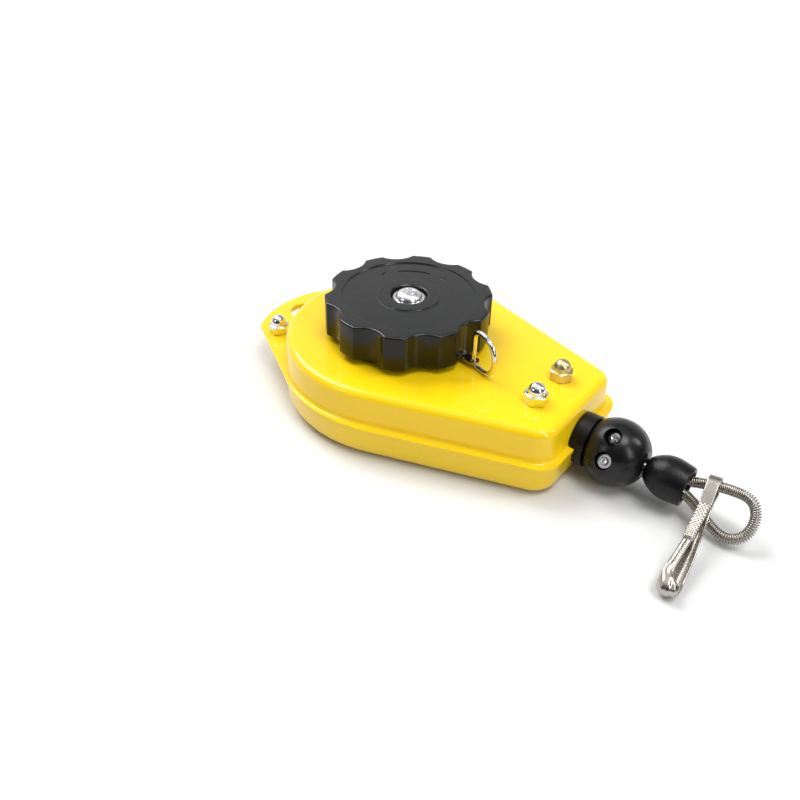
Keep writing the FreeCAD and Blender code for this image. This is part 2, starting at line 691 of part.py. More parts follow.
polygon(s, [(9.0, S.knob_z - 1), (29.4, S.knob_z - 1), (28.8, S.knob_top - 3.2), (9.0, S.knob_top - 3.2)])
groove(b, s)
s = sketch(b, "bore", offset=S.knob_z - 1.0)
circle(s, 0, 0, S.shaft_r)
pocket(b, s, 12.0, up=True)
s = sketch(b, "screw_hole", offset=S.knob_z)
circle(s, 0, 0, 2.6)
pocket(b, s, through=True)

b = body("winding_shaft")
s = sketch(b, "rod", offset=1.4)
circle(s, 0, 0, S.shaft_r)
pad(b, s, S.knob_z + 11.0 - 1.4)
s = sketch(b, "slot", offset=8.0)
polygon(s, [(-6, -0.6), (6, -0.6), (6, 0.6), (-6, 0.6)])
pocket(b, s, 12.6, up=True)
s = sketch(b, "clip_groove", "XZ_Plane")
polygon(s, [(4.3, S.top_z - 3.2), (6, S.top_z - 3.2), (6, S.top_z - 2.45), (4.3, S.top_z - 2.45)])
groove(b, s)
s = sketch(b, "tap", offset=S.knob_z + 11.0)
circle(s, 0, 0, 2.5)
pocket(b, s, 9.0)

turned(
    "knob_screw",
    [
        (0, S.knob_z + 3.0), (2.45, S.knob_z + 3.0), (2.45, S.knob_top - 1.3), (5.5, S.knob_top - 1.3), (5.5, S.knob_top - 0.5),
        (5.1, S.knob_top + 0.5), (4.0, S.knob_top + 1.15), (2.0, S.knob_top + 1.45), (0, S.knob_top + 1.5),
    ],
)
b = doc.getObject("knob_screw")
s = sketch(b, "recess", offset=S.knob_top + 2.0)
polygon(s, [(-2.8, -0.55), (-0.55, -0.55), (-0.55, -2.8), (0.55, -2.8), (0.55, -0.55), (2.8, -0.55), (2.8, 0.55), (0.55, 0.55), (0.55, 2.8), (-0.55, 2.8), (-0.55, 0.55), (-2.8, 0.55)])
pocket(b, s, 2.4)
turned("knob_washer", [(2.7, S.knob_top - 2.2), (6.6, S.knob_top - 2.2), (6.6, S.knob_top - 1.3), (2.7, S.knob_top - 1.3)])
turned("shaft_retaining_ring", [(4.35, S.top_z - 3.15), (7.2, S.top_z - 3.15), (7.2, S.top_z - 2.5), (4.35, S.top_z - 2.5)])

# ratchet wheel: twelve saw teeth, so every 30 degree step looks the same to the pawl
tip_r, root_r, teeth = V["ratchet_r"], 12.2, int(V["ratchet_n"])
pts = []
for k in range(teeth):
    a = math.radians(V["pawl_angle"]) + 2 * math.pi * k / teeth
    step = 2 * math.pi / teeth
    pts.append(Vector(root_r * math.cos(a - 0.20 * step), root_r * math.sin(a - 0.20 * step), 0))
    pts.append(Vector(root_r * math.cos(a + 0.20 * step), root_r * math.sin(a + 0.20 * step), 0))
    pts.append(Vector(tip_r * math.cos(a + 0.36 * step), tip_r * math.sin(a + 0.36 * step), 0))
    pts.append(Vector(tip_r * math.cos(a + 0.46 * step), tip_r * math.sin(a + 0.46 * step), 0))
wheel = Part.Face(Part.makePolygon(pts + [pts[0]])).extrude(Vector(0, 0, 2.0))
wheel = wheel.cut(Part.makeCylinder(V["shaft_r"], 4, Vector(0, 0, -1)))
feature("ratchet_wheel", wheel, Placement(Vector(0, 0, V["top_z"] + 0.75), Rotation()))

# ================================================================ drum
z0, z1 = 4.4, 23.4
groove_r = S.drum_r - S.rope_r
b = turned(
    "cable_drum",
    [
        (8.2, z0), (S.flange_r, z0), (S.flange_r, z0 + 1.5), (groove_r, z0 + 1.5), (groove_r, z1 - 1.5), (S.flange_r, z1 - 1.5),
        (S.flange_r, z1), (39.4, z1), (39.4, z0 + 1.8), (8.2, z0 + 1.8),
    ],
)
s = sketch(b, "rivet_hole", offset=z0)
circle(s, 40.6, 0, 0.8)
f1 = pocket(b, s, z1 - z0 + 1, up=True)
polar(b, [f1], 3)
b = turned("drum_side_plate", [(8.2, z1), (S.flange_r - 0.3, z1), (S.flange_r - 0.3, z1 + 1.2), (8.2, z1 + 1.2)])
s = sketch(b, "rivet_hole", offset=z1)
circle(s, 40.6, 0, 0.8)
f1 = pocket(b, s, 2.0, up=True)
polar(b, [f1], 3)
b = body("drum_rivets")
s = sketch(b, "shank", offset=z0 + 0.1)
circle(s, 40.6, 0, 0.8)
f1 = pad(b, s, z1 - z0 + 1.1)
s = sketch(b, "head", offset=z1 + 1.2)
circle(s, 40.6, 0, 1.6)
f2 = pad(b, s, 0.6)
polar(b, [f1, f2], 3)

b = body("drum_bushes")
s = sketch(b, "lower", offset=3.9)
circle(s, 0, 0, 8.2)
circle(s, 0, 0, S.shaft_r + S.run_gap)
pad(b, s, 2.6)
s = sketch(b, "upper", offset=22.4)
circle(s, 0, 0, 8.2)
circle(s, 0, 0, S.shaft_r + S.run_gap)
pad(b, s, 2.6)

# flat spiral mainspring: strip wound in half-circle arcs from the shaft out to the drum's rim
turns, r_in, r_out, strip = 13, 5.9, 38.4, 0.7
half = 2 * turns
pitch = (r_out - r_in) / half


def spiral_side(offset):
    """Half circles whose centres alternate about the axis, from the inside out."""
    out = []
    r, sign, x0 = r_in + offset, 1, 0.0
    start = Vector(r, 0, 0)
    cx = 0.0
    for k in range(half):
        rk = r + pitch * k
        end = Vector(start.x - sign * 2 * rk - 0.0, 0, 0)
        mid = Vector((start.x + end.x) / 2, sign * rk, 0)
        out.append(Part.Arc(start, mid, end).toShape())
        start, sign = end, -sign
    return out, start


inner, inner_end = spiral_side(0.0)
outer, outer_end = spiral_side(strip)
edges = inner + [Part.LineSegment(inner_end, outer_end).toShape()] + [e for e in reversed(outer)]
edges.append(Part.LineSegment(Vector(r_in + strip, 0, 0), Vector(r_in, 0, 0)).toShape())
spiral = Part.Face(Part.Wire(Part.__sortEdges__(edges))).extrude(Vector(0, 0, 12.0))
feature("mainspring", spiral, Placement(Vector(0, 0, 8.3), Rotation()))

turned("wound_cable", [(groove_r + 0.02, z0 + 1.6), (S.drum_r + S.rope_r, z0 + 1.6), (S.drum_r + S.rope_r, z1 - 1.6), (groove_r + 0.02, z1 - 1.6)])
b = body("cable_anchor")
s = sketch(b, "clamp", offset=z1 - 2.8)
polygon(s, [(38.7, 6.0), (39.2, 3.0), (39.2, -3.0), (38.7, -6.0), (38.2, -6.0), (38.2, 6.0)])
pad(b, s, 2.4)

# ================================================================ pawl and pull ring
b = body("lock_pawl")
s = sketch(b, "strip", offset=S.pawl_z)
hw = S.pawl_w / 2.0
polygon(s, [(12.5, -1.2), (15.6, -1.7), (16.4, -hw), (S.ring_x + 0.9, -hw), (S.ring_x + 2.1, -hw + 1.2), (S.ring_x + 2.1, hw - 1.2), (S.ring_x + 0.9, hw), (16.4, hw), (15.6, 1.7), (12.5, 1.2)])
pad(b, s, S.pawl_t)
s = sketch(b, "ring_hole", offset=S.pawl_z)
circle(s, S.ring_x, 0, S.ring_wire_r + 0.25)
pocket(b, s, 3.0, up=True)
s = sketch(b, "peg", offset=S.pawl_z + S.pawl_t)
circle(s, 17.4, 0, 0.8)
pad(b, s, 2.4)
b.Placement = pawl_turn
# pawl spring: a bowed wire between the guide and the pawl's peg
px = V["pawl_z"] + V["pawl_t"] + 1.3
wire_path = rounded_path([(21.7, -7.0, px), (19.4, -3.4, px), (18.47, 0.0, px), (19.4, 3.4, px), (21.7, 7.0, px)])
bow = sweep(wire_path, round_section(Vector(21.7, -7.0, px), Vector(-2.3, 3.6, 0), 0.22))
feature("pawl_spring", bow, pawl_turn)

# pull ring: D of round wire, its straight side standing in the pawl's end hole.
# local frame: X along the ring's reach, Z up the straight side, origin on the plateau under the pivot.
rw = V["ring_wire_r"]
zb = V["top_z"] + 0.06 + rw
d_pts = [(0, 0, zb + 7.4), (0, 0, zb), (9.0, 0, zb), (13.9, 0, zb + 3.6), (13.6, 0, zb + 10.5), (9.5, 0, zb + 16.2), (3.5, 0, zb + 16.4), (0, 0, zb + 14.8), (0, 0, zb + 7.41)]
path = rounded_path(d_pts, radii={1: 1.3, 7: 1.6})
ring = sweep(path, round_section(Vector(0, 0, zb + 7.4), Vector(0, 0, -1), rw))
ring_at = Placement(Vector(0, 0, 0), Rotation(Vector(0, 0, 1), V["pawl_angle"])).multiply(Placement(Vector(V["ring_x"], 0, 0), Rotation(Vector(0, 0, 1), -14.5)))
feature("pull_ring", ring, ring_at)

# ================================================================ cable end
AX = V["axis_z"]
# run of wire rope from the drum, past the nose spacer, through the grommet and the ball to the crimp
run_pts = [(36.4, -27.6, 17.2), (53.0, -14.4, 15.6), (66.5, -3.0, 14.4), (78.0, -0.7, 13.85), (84.0, 0.0, 13.7), (107.0, 0.0, 13.7), (112.75, 0.0, 13.0), (117.4, 0.0, 12.64)]
feature("cable_run", rope(run_pts, V["rope_r"], "cable_run"))

# stop ball: two halves clamped on the rope, split along the rope
nb = Vector(0, -0.788, 0.616).normalize()
sb = Vector(0, 0.616, 0.788).normalize()
centre = Vector(V["ball_x"], 0, AX)
ball = Part.makeSphere(V["ball_r"], centre)
ball = ball.cut(Part.makeBox(10, 40, 40, Vector(112.4, -20, AX - 20)))
ball = ball.cut(Part.makeCylinder(V["rope_r"] + 0.02, 40, Vector(80, 0, AX), Vector(1, 0, 0)))
ball = ball.cut(Part.makeCone(V["rope_r"] + 0.02, 2.8, 6.6, Vector(106.0, 0, AX), Vector(1, 0, 0)))
screw_at = [(centre + sb * 4.8 - Vector(0.4, 0, 0), nb), (centre - sb * 4.8 - Vector(0.4, 0, 0), nb * -1)]
for at, n in screw_at:
    ball = ball.cut(Part.makeCylinder(1.6, 30, at - n * 15, n))
    ball = ball.cut(Part.makeCylinder(3.5, 12, at + n * 6.6, n))
    ball = ball.cut(Part.makeCylinder(3.5, 12, at - n * 6.6, n * -1))
turn = Rotation(Vector(0, 0, 1), nb)


def half_space(n):
    box = Part.makeBox(60, 60, 30, Vector(-30, -30, 0.06))
    box.Placement = Placement(centre, Rotation(Vector(0, 0, 1), n))
    return box


feature("stop_ball_front", ball.common(half_space(nb)))
feature("stop_ball_back", ball.common(half_space(nb * -1)))
screws, nuts = [], []
for at, n in screw_at:
    screw = Part.makeCylinder(1.5, 15.6, at + n * 6.6 - n * 15.6, n)
    head = Part.makeCylinder(2.75, 1.9, at + n * 6.6, n)
    head = head.makeFillet(0.7, [e for e in head.Edges if abs((e.CenterOfMass - (at + n * 8.5)).Length) < 0.01])
    cross = Rotation(Vector(0, 0, 1), n)
    for ang in (0, 90):
        slot = Part.makeBox(3.2, 0.6, 2.0, Vector(-1.6, -0.3, 0))
        slot.Placement = Placement(at + n * 7.5, cross.multiply(Rotation(Vector(0, 0, 1), ang + 20)))
        head = head.cut(slot)
    screws.append(screw.fuse(head).removeSplitter())
    hexa = []
    for k in range(6):
        a = math.radians(60 * k)
        hexa.append(Vector(5.5 / math.sqrt(3) * math.cos(a), 5.5 / math.sqrt(3) * math.sin(a), 0))
    nut = Part.Face(Part.makePolygon(hexa + [hexa[0]])).extrude(Vector(0, 0, 2.2))
    nut = nut.cut(Part.makeCylinder(1.52, 4, Vector(0, 0, -1)))
    nut.Placement = Placement(at - n * 6.6, Rotation(Vector(0, 0, 1), n * -1))
    nuts.append(nut)
feature("ball_screws", Part.makeCompound(screws))
feature("ball_nuts", Part.makeCompound(nuts))

# ferrule sleeve and crimp, turned about their own axis that dips a little towards the loop
sleeve_at = Placement(Vector(112.75, 0, 13.0), Rotation(Vector(0, 1, 0), 4.4))
b = turned(
    "ferrule_sleeve",
    [
        (0, 1.9), (0.0, 2.9), (0.7, 4.6), (2.0, 5.7), (3.8, 6.9), (5.8, 7.85), (8.0, 8.4), (10.0, S.sleeve_r), (12.5, 8.4), (14.5, 8.1),
        (S.sleeve_len, 7.8), (S.sleeve_len, 6.5), (S.sleeve_len - 4.5, 6.3), (S.sleeve_len - 4.5, 4.1), (1.6, 4.1), (1.6, 1.9),
    ],
    "H_Axis",
)
b.Placement = sleeve_at
b = turned("crimp_ferrule", [(1.8, 1.3), (1.8, 4.0), (13.7, 4.0), (13.7, 0), (5.0, 0), (5.0, 1.3)], "H_Axis")
b.Placement = sleeve_at

# loop of wire rope in its close-wound spring. u runs along X, v up the loop's tilted plane.
anchor = Vector(130.7, 0, 11.75)
ev = Vector(0, math.cos(math.radians(45)), math.sin(math.radians(45)))
LOOP_UV = [(-4.3, 1.5), (4.6, 4.1), (13.4, 5.6), (21.4, 5.4), (25.2, -0.8), (24.0, -8.6), (18.0, -12.0), (10.5, -9.2), (3.5, -4.2), (-4.3, -1.6)]
loop_pts = []
for u, v in LOOP_UV:
    p = anchor + Vector(u, 0, 0) + ev * v
    loop_pts.append((p.x, p.y, p.z))
feature("loop_rope", rope(loop_pts, V["rope_r"], "loop_rope"))
# the spring starts and ends at the mouth of the sleeve, on the same bends
same = {k + 1: r for k, r in enumerate(RADII["loop_rope"])}
first, last = Vector(*loop_pts[0]), Vector(*loop_pts[-1])
first += (Vector(*loop_pts[1]) - first) * (3.3 / 8.9)
last += (Vector(*loop_pts[-2]) - last) * (3.3 / 7.8)
spring_pts = [tuple(first)] + loop_pts[1:-1] + [tuple(last)]
feature("loop_spring", rope(spring_pts, V["spring_r"], "loop_spring", bore=V["rope_r"] + 0.03, radii=same))

# ================================================================ snap hook
# local frame: X down the hook's length from the centre of its eye, Y towards its front, Z across the strip
eye = Vector(138.5, 3.05, 14.75)
nose = Vector(142.6, -41.9, 4.35)
hx = (nose - eye)
reach_len = hx.Length
hx.normalize()
wire_dir = Vector(0.994, 0.078, 0.078)
wz = wire_dir - hx * wire_dir.dot(hx)
wz.normalize()
ny = hx.cross(wz)
rot = Rotation(hx, ny, hx.cross(ny), "XYZ")
hook_at = Placement(eye, rot)
print("hook: eye to nose %.2f, front normal %s" % (reach_len, ny))
ht, hw2 = V["hook_t"], V["hook_w"] / 2


def strip_section(at, direction, normal):
    """A rectangle across the strip at one end of its path."""
    n = Vector(*normal).normalize() * (ht / 2)
    p = Vector(*at)
    z = Vector(0, 0, hw2)
    c = [p + n + z, p - n + z, p - n - z, p + n - z]
    return Part.makePolygon(c + [c[0]])


hp = [
    (9.0, 0.62, 0), (4.6, 2.6, 0), (-1.2, 3.75, 0), (-4.3, 0.0, 0), (-1.2, -3.75, 0), (4.6, -2.6, 0), (9.4, -0.62, 0), (13.0, -0.75, 0),
    (23.0, -3.1, 0), (33.0, -3.5, 0), (reach_len + 3.45, -3.5, 0), (reach_len + 3.5, 3.5, 0), (33.0, 2.7, 0), (27.0, 2.2, 0),
]
path = rounded_path(hp, radii={10: 3.3, 11: 3.3})
d0 = Vector(*hp[1]) - Vector(*hp[0])
body_strip = sweep(path, strip_section(hp[0], d0, (-d0.y, d0.x, 0)))
feature("hook_body", body_strip, hook_at)
tp = [(9.75, 0.62, 0), (13.5, 0.95, 0), (25.0, 1.35, 0), (28.0, 0.95, 0), (33.0, 0.75, 0)]
path = rounded_path(tp)
d0 = Vector(*tp[1]) - Vector(*tp[0])
tongue = sweep(path, strip_section(tp[0], d0, (-d0.y, d0.x, 0)))
narrow = Part.makeBox(60, 20, V["hook_w"] - 0.8, Vector(0, -10, -(V["hook_w"] - 0.8) / 2))
feature("hook_tongue", tongue.common(narrow), hook_at)

# ================================================================ check and write
doc.recompute()
bad = [(o.Name, o.State, getattr(o, "RedundantConstraints", None) or getattr(o, "ConflictingConstraints", None)) for o in doc.Objects if "Invalid" in o.State or "Error" in o.State]
if bad:
    raise SystemExit("failed objects: %s" % bad)
for name, obj in NODES.items():
    shape = obj.Shape
    if shape.isNull() or not shape.isValid() or not shape.Solids:
        raise SystemExit("bad shape: %s" % name)
for name, obj in NODES.items():
    obj.Shape.exportStep("parts/%s.step" % name)
for label, radii in RADII.items():
    print("%s bend radii: %s" % (label, " ".join("%.1f" % r for r in radii)))
total = 0.0
for name, obj in NODES.items():
    bb = obj.Shape.BoundBox
    total += obj.Shape.Volume
    print("%-22s solids %d vol %9.1f  x %.2f..%.2f y %.2f..%.2f z %.2f..%.2f" % (name, len(obj.Shape.Solids), obj.Shape.Volume, bb.XMin, bb.XMax, bb.YMin, bb.YMax, bb.ZMin, bb.ZMax))
print("%d nodes, %.0f mm3" % (len(NODES), total))
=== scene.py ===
import json
import math

import bpy
import bmesh
from mathutils import Matrix, Vector


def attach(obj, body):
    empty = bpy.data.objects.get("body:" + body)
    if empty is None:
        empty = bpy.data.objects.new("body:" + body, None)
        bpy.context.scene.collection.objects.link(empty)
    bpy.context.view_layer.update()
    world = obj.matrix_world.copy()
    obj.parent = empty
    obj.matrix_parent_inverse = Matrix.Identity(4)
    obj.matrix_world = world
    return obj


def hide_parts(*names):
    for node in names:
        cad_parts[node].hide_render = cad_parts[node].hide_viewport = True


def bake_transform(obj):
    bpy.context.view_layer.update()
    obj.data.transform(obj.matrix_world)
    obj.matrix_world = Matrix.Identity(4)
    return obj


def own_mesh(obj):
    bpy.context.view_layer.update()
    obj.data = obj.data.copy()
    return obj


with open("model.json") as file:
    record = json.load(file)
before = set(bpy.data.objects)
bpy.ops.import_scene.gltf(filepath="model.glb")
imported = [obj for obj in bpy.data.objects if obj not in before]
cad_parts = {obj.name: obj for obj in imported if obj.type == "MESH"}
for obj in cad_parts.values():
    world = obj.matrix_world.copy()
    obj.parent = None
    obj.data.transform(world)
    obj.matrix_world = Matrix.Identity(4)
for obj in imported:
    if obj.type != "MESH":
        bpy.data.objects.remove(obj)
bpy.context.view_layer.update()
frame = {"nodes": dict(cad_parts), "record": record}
nodes = frame["nodes"]
MM = 0.001

# ------------------------------------------------------------------ camera
cam_data = bpy.data.cameras.new("camera")
cam_data.sensor_width = 36.0
cam_data.lens = 39.98
cam_data.clip_start, cam_data.clip_end = 0.01, 20.0
camera = bpy.data.objects.new("camera", cam_data)
bpy.context.scene.collection.objects.link(camera)
cr, cu, cf = Vector((0.7992, 0.6007, 0.0193)), Vector((-0.37, 0.4664, 0.8035)), Vector((-0.4737, 0.6492, -0.595))
cr.normalize()
cf = (cf - cr * cf.dot(cr)).normalized()
cu = cr.cross(cf).normalized()
rot = Matrix((cr, cu, -cf)).transposed()
camera.matrix_world = Matrix.Translation(Vector((188.21, -262.5, 231.43)) * MM) @ rot.to_4x4()
bpy.context.scene.camera = camera


# ------------------------------------------------------------------ materials
def new_material(name):
    m = bpy.data.materials.new(name)
    m.use_nodes = True
    nt = m.node_tree
    nt.nodes.clear()
    out = nt.nodes.new("ShaderNodeOutputMaterial")
    bsdf = nt.nodes.new("ShaderNodeBsdfPrincipled")
    nt.links.new(bsdf.outputs[0], out.inputs[0])
    return m, nt, bsdf


def add(nt, kind, **values):
    n = nt.nodes.new(kind)
    for k, v in values.items():
        if k.startswith("in_"):
            key = k[3:].replace("_", " ")
            n.inputs[key].default_value = v
        else:
            setattr(n, k, v)
    return n


def coords(nt):
    return nt.nodes.new("ShaderNodeTexCoord").outputs["Object"]


def noise(nt, scale, detail=4.0, rough=0.5, vec=None, stretch=None):
    vec = vec or coords(nt)
    if stretch:
        mp = add(nt, "ShaderNodeMapping")
        mp.inputs["Scale"].default_value = stretch
        nt.links.new(vec, mp.inputs["Vector"])
        vec = mp.outputs[0]
    n = add(nt, "ShaderNodeTexNoise")
    n.inputs["Scale"].default_value = scale
    n.inputs["Detail"].default_value = detail
    n.inputs["Roughness"].default_value = rough
    nt.links.new(vec, n.inputs["Vector"])
    return n.outputs["Fac"]


def ramp(nt, fac, stops):
    r = nt.nodes.new("ShaderNodeValToRGB")
    el = r.color_ramp.elements
    while len(el) > len(stops):
        el.remove(el[-1])
    while len(el) < len(stops):
        el.new(1.0)
    for e, (p, c) in zip(el, stops):
        e.position = p
        e.color = (*c, 1.0) if len(c) == 3 else c
    nt.links.new(fac, r.inputs[0])
    return r.outputs[0]


def grey(v):
    return (v, v, v)


def bump(nt, height, strength, distance, after=None):
    b = add(nt, "ShaderNodeBump")
    b.inputs["Strength"].default_value = strength
    b.inputs["Distance"].default_value = distance
    nt.links.new(height, b.inputs["Height"])
    if after is not None:
        nt.links.new(after, b.inputs["Normal"])
    return b.outputs[0]


def paint():
    m, nt, b = new_material("yellow_enamel")
    base = ramp(nt, noise(nt, 9.0, 3.0, 0.5), [(0.3, (0.900, 0.600, 0.0045)), (0.7, (0.945, 0.640, 0.0065))])
    nt.links.new(base, b.inputs["Base Color"])
    b.inputs["Roughness"].default_value = 0.35
    b.inputs["Specular IOR Level"].default_value = 0.12
    b.inputs["Coat Weight"].default_value = 0.85
    b.inputs["Coat Roughness"].default_value = 0.06
    b.inputs["Coat IOR"].default_value = 1.45
    peel = noise(nt, 900.0, 2.0, 0.5)
    wave = noise(nt, 60.0, 2.0, 0.5)
    n1 = bump(nt, peel, 0.035, 0.00012)
    n2 = bump(nt, wave, 0.10, 0.0006, n1)
    nt.links.new(n2, b.inputs["Coat Normal"])
    nt.links.new(n2, b.inputs["Normal"])
    return m


def plastic(name, colour, rough, bump_scale=900.0, bump_strength=0.08, scratch=0.0, coat=0.0, spread=0.25, gloss=0.5):
    m, nt, b = new_material(name)
    lo = tuple(c * (1 - spread) for c in colour)
    hi = tuple(c * (1 + spread) for c in colour)
    nt.links.new(ramp(nt, noise(nt, 40.0, 5.0, 0.6), [(0.3, lo), (0.7, hi)]), b.inputs["Base Color"])
    r = ramp(nt, noise(nt, 120.0, 4.0, 0.6), [(0.25, grey(max(rough - 0.06, 0.03))), (0.75, grey(rough + 0.07))])
    nt.links.new(r, b.inputs["Roughness"])
    b.inputs["Specular IOR Level"].default_value = gloss
    if coat:
        b.inputs["Coat Weight"].default_value = coat
        b.inputs["Coat Roughness"].default_value = 0.08
    n = bump(nt, noise(nt, bump_scale, 3.0, 0.6), bump_strength, 0.0001)
    if scratch:
        n = bump(nt, noise(nt, 260.0, 6.0, 0.75, stretch=(1.0, 1.0, 3.0)), scratch, 0.00025, n)
    nt.links.new(n, b.inputs["Normal"])
    return m


def metal(name, colour, rough, grain=None, strength=0.1, tint=0.12, blotch=60.0, rough_span=0.08):
    m, nt, b = new_material(name)
    b.inputs["Metallic"].default_value = 1.0
    lo = tuple(c * (1 - tint) for c in colour)
    hi = tuple(min(c * (1 + tint * 0.5), 1.0) for c in colour)
    nt.links.new(ramp(nt, noise(nt, blotch, 4.0, 0.6), [(0.3, lo), (0.7, hi)]), b.inputs["Base Color"])
    r = ramp(nt, noise(nt, blotch * 3.1, 4.0, 0.6), [(0.3, grey(max(rough - rough_span, 0.03))), (0.75, grey(rough + rough_span))])
    nt.links.new(r, b.inputs["Roughness"])
    h = noise(nt, 700.0, 3.0, 0.6, stretch=grain)
    nt.links.new(bump(nt, h, strength, 0.0001), b.inputs["Normal"])
    return m


M_PAINT = paint()
M_KNOB_TOP = plastic("knob_satin", (0.0100, 0.0106, 0.0106), 0.25, 1500.0, 0.10)
M_KNOB = plastic("knob_gloss", (0.0045, 0.0042, 0.0038), 0.19, 500.0, 0.03, spread=0.1, gloss=0.34)
M_BALL = plastic("ball_plastic", (0.0058, 0.0062, 0.0066), 0.25, 800.0, 0.12, scratch=0.16, gloss=0.32)
M_SLEEVE = plastic("sleeve_rubber", (0.0050, 0.0052, 0.0056), 0.28, 500.0, 0.25, scratch=0.60, gloss=0.24)
M_GROMMET = plastic("grommet_nylon", (0.0060, 0.0050, 0.0042), 0.32, 700.0, 0.15, scratch=0.12, gloss=0.24)
M_ZINC = metal("zinc_bright", (0.80, 0.80, 0.80), 0.15, strength=0.06)
M_NICKEL = metal("nickel_bright", (0.47, 0.44, 0.395), 0.26, strength=0.10, tint=0.12, blotch=160.0, rough_span=0.07)
M_COIL = metal("coil_nickel", (0.40, 0.37, 0.32), 0.30, strength=0.05, tint=0.15, blotch=140.0)
# copy of the zinc for the far nose nut: its darker gold base colour is a painted reflection of the yellow housing on
# the same zinc-plated nut as the near one
M_ZINC_PAINTED_REFLECTION = metal("zinc_painted_reflection", (0.62, 0.53, 0.28), 0.34, strength=0.3, tint=0.3, blotch=220.0)
M_ZINC_SOFT = metal("zinc_satin", (0.86, 0.86, 0.88), 0.30, strength=0.10)
M_RING = metal("ring_nickel", (0.74, 0.70, 0.63), 0.10, strength=0.05)
M_STEEL = metal("steel_plain", (0.50, 0.49, 0.47), 0.33, grain=(1.0, 1.0, 6.0), strength=0.12)
M_PAWL = metal("pawl_steel", (0.42, 0.37, 0.30), 0.24, strength=0.10)
M_ROPE = metal("rope_galvanised", (0.55, 0.54, 0.52), 0.34, strength=0.2)
M_BLUED = metal("spring_blued", (0.16, 0.18, 0.24), 0.26, strength=0.08)
M_BRONZE = metal("sintered_bronze", (0.52, 0.33, 0.14), 0.42, strength=0.25)
M_ALU = metal("swaged_aluminium", (0.70, 0.70, 0.72), 0.30, grain=(6.0, 1.0, 1.0), strength=0.2)
M_DRUM = plastic("drum_resin", (0.62, 0.61, 0.55), 0.40, 600.0, 0.08, spread=0.06)
BY_SLOT = {
    "yellow_paint": M_PAINT, "knob_black": M_KNOB, "ball_black": M_BALL, "sleeve_black": M_SLEEVE, "grommet_brown": M_GROMMET,
    "zinc_plate": M_ZINC, "steel": M_STEEL, "nickel": M_NICKEL, "wire_rope": M_ROPE, "spring_steel": M_BLUED, "bronze": M_BRONZE,
    "drum_plastic": M_DRUM, "aluminium": M_ALU,
}
slot_of = {s["node"]: s["material_slot"] for s in frame["record"]["subparts"]}
for name, obj in nodes.items():
    for i in range(len(obj.material_slots)):
        obj.material_slots[i].material = BY_SLOT[slot_of[name]]
for i in range(len(nodes["lock_pawl"].material_slots)):
    nodes["lock_pawl"].material_slots[i].material = M_PAWL


# ------------------------------------------------------------------ mesh helpers
def link(name, mesh, *materials):
    o = bpy.data.objects.new(name, mesh)
    bpy.context.scene.collection.objects.link(o)
    for m in materials:
        mesh.materials.append(m)
    return o


def mesh_of(name, verts, faces, *materials, smooth=True, split=None):
    me = bpy.data.meshes.new(name)
    me.from_pydata([tuple(v) for v in verts], [], faces)
    me.validate()
    o = link(name, me, *materials)
    bm = bmesh.new()
    bm.from_mesh(me)
    bmesh.ops.remove_doubles(bm, verts=bm.verts, dist=1e-7)
    bmesh.ops.recalc_face_normals(bm, faces=bm.faces)
    bm.to_mesh(me)
    bm.free()
    finish_shading(o, smooth, split)
    return o


def finish_shading(o, smooth=True, split=None):
    me = o.data
    for p in me.polygons:
        p.use_smooth = smooth
    if split is not None:
        bm = bmesh.new()
        bm.from_mesh(me)
        for e in bm.edges:
            if len(e.link_faces) == 2:
                e.smooth = e.calc_face_angle(0.0) < math.radians(split)
        bm.to_mesh(me)
        bm.free()


def loft(name, rings, *materials, closed=True, ends=True, split=32.0, loop=False):
    """Quads between successive rings of points; ends are capped by a fan."""
    verts, faces = [], []
    n = len(rings[0])
    for r in rings:
        verts += [Vector(p) for p in r]
    m = len(rings)
    span = n if closed else n - 1
    for i in range(m if loop else m - 1):
        j = (i + 1) % m
        for k in range(span):
            l = (k + 1) % n
            faces.append((i * n + k, i * n + l, j * n + l, j * n + k))
    if ends and not loop:
        for i in (0, m - 1):
            c = sum((verts[i * n + k] for k in range(n)), Vector()) / n
            verts.append(c)
            for k in range(n):
                l = (k + 1) % n
                f = (len(verts) - 1, i * n + l, i * n + k)
                faces.append(f if i == 0 else f[::-1])
    return mesh_of(name, verts, faces, *materials, split=split)


def turned(name, profile, centre, axis, *materials, n=96, split=32.0):
    """A surface of revolution. profile is (distance along axis, radius) in millimetres, closed outline."""
    axis = Vector(axis).normalized()
    u = axis.orthogonal().normalized()
    v = axis.cross(u)
    c = Vector(centre)
    verts, faces = [], []
    for a, r in profile:
        for k in range(n):
            t = 2 * math.pi * k / n
            verts.append((c + axis * a + (u * math.cos(t) + v * math.sin(t)) * r) * MM)
    m = len(profile)
    for i in range(m):
        j = (i + 1) % m
        for k in range(n):
            l = (k + 1) % n
            faces.append((i * n + k, i * n + l, j * n + l, j * n + k))
    return mesh_of(name, verts, faces, *materials, split=split)


def rounded(points, radius, steps=5):
    """A closed outline with every corner rounded (radius may be a list)."""
    out = []
    n = len(points)
    for i in range(n):
        p = Vector((points[i][0], points[i][1]))
        a = Vector((points[i - 1][0], points[i - 1][1])) - p
        b = Vector((points[(i + 1) % n][0], points[(i + 1) % n][1])) - p
        r = radius[i] if isinstance(radius, (list, tuple)) else radius
        la, lb = a.length, b.length
        a.normalize()
        b.normalize()
        half = a.angle(b) / 2
        if r <= 0 or half > math.pi / 2 - 0.02:
            out.append((p.x, p.y))
            continue
        cut = min(r / math.tan(half), 0.45 * la, 0.45 * lb)
        for k in range(steps + 1):
            t = k / steps
            q = (p + a * cut) * (1 - t) ** 2 + p * 2 * t * (1 - t) + (p + b * cut) * t**2
            out.append((q.x, q.y))
    return out


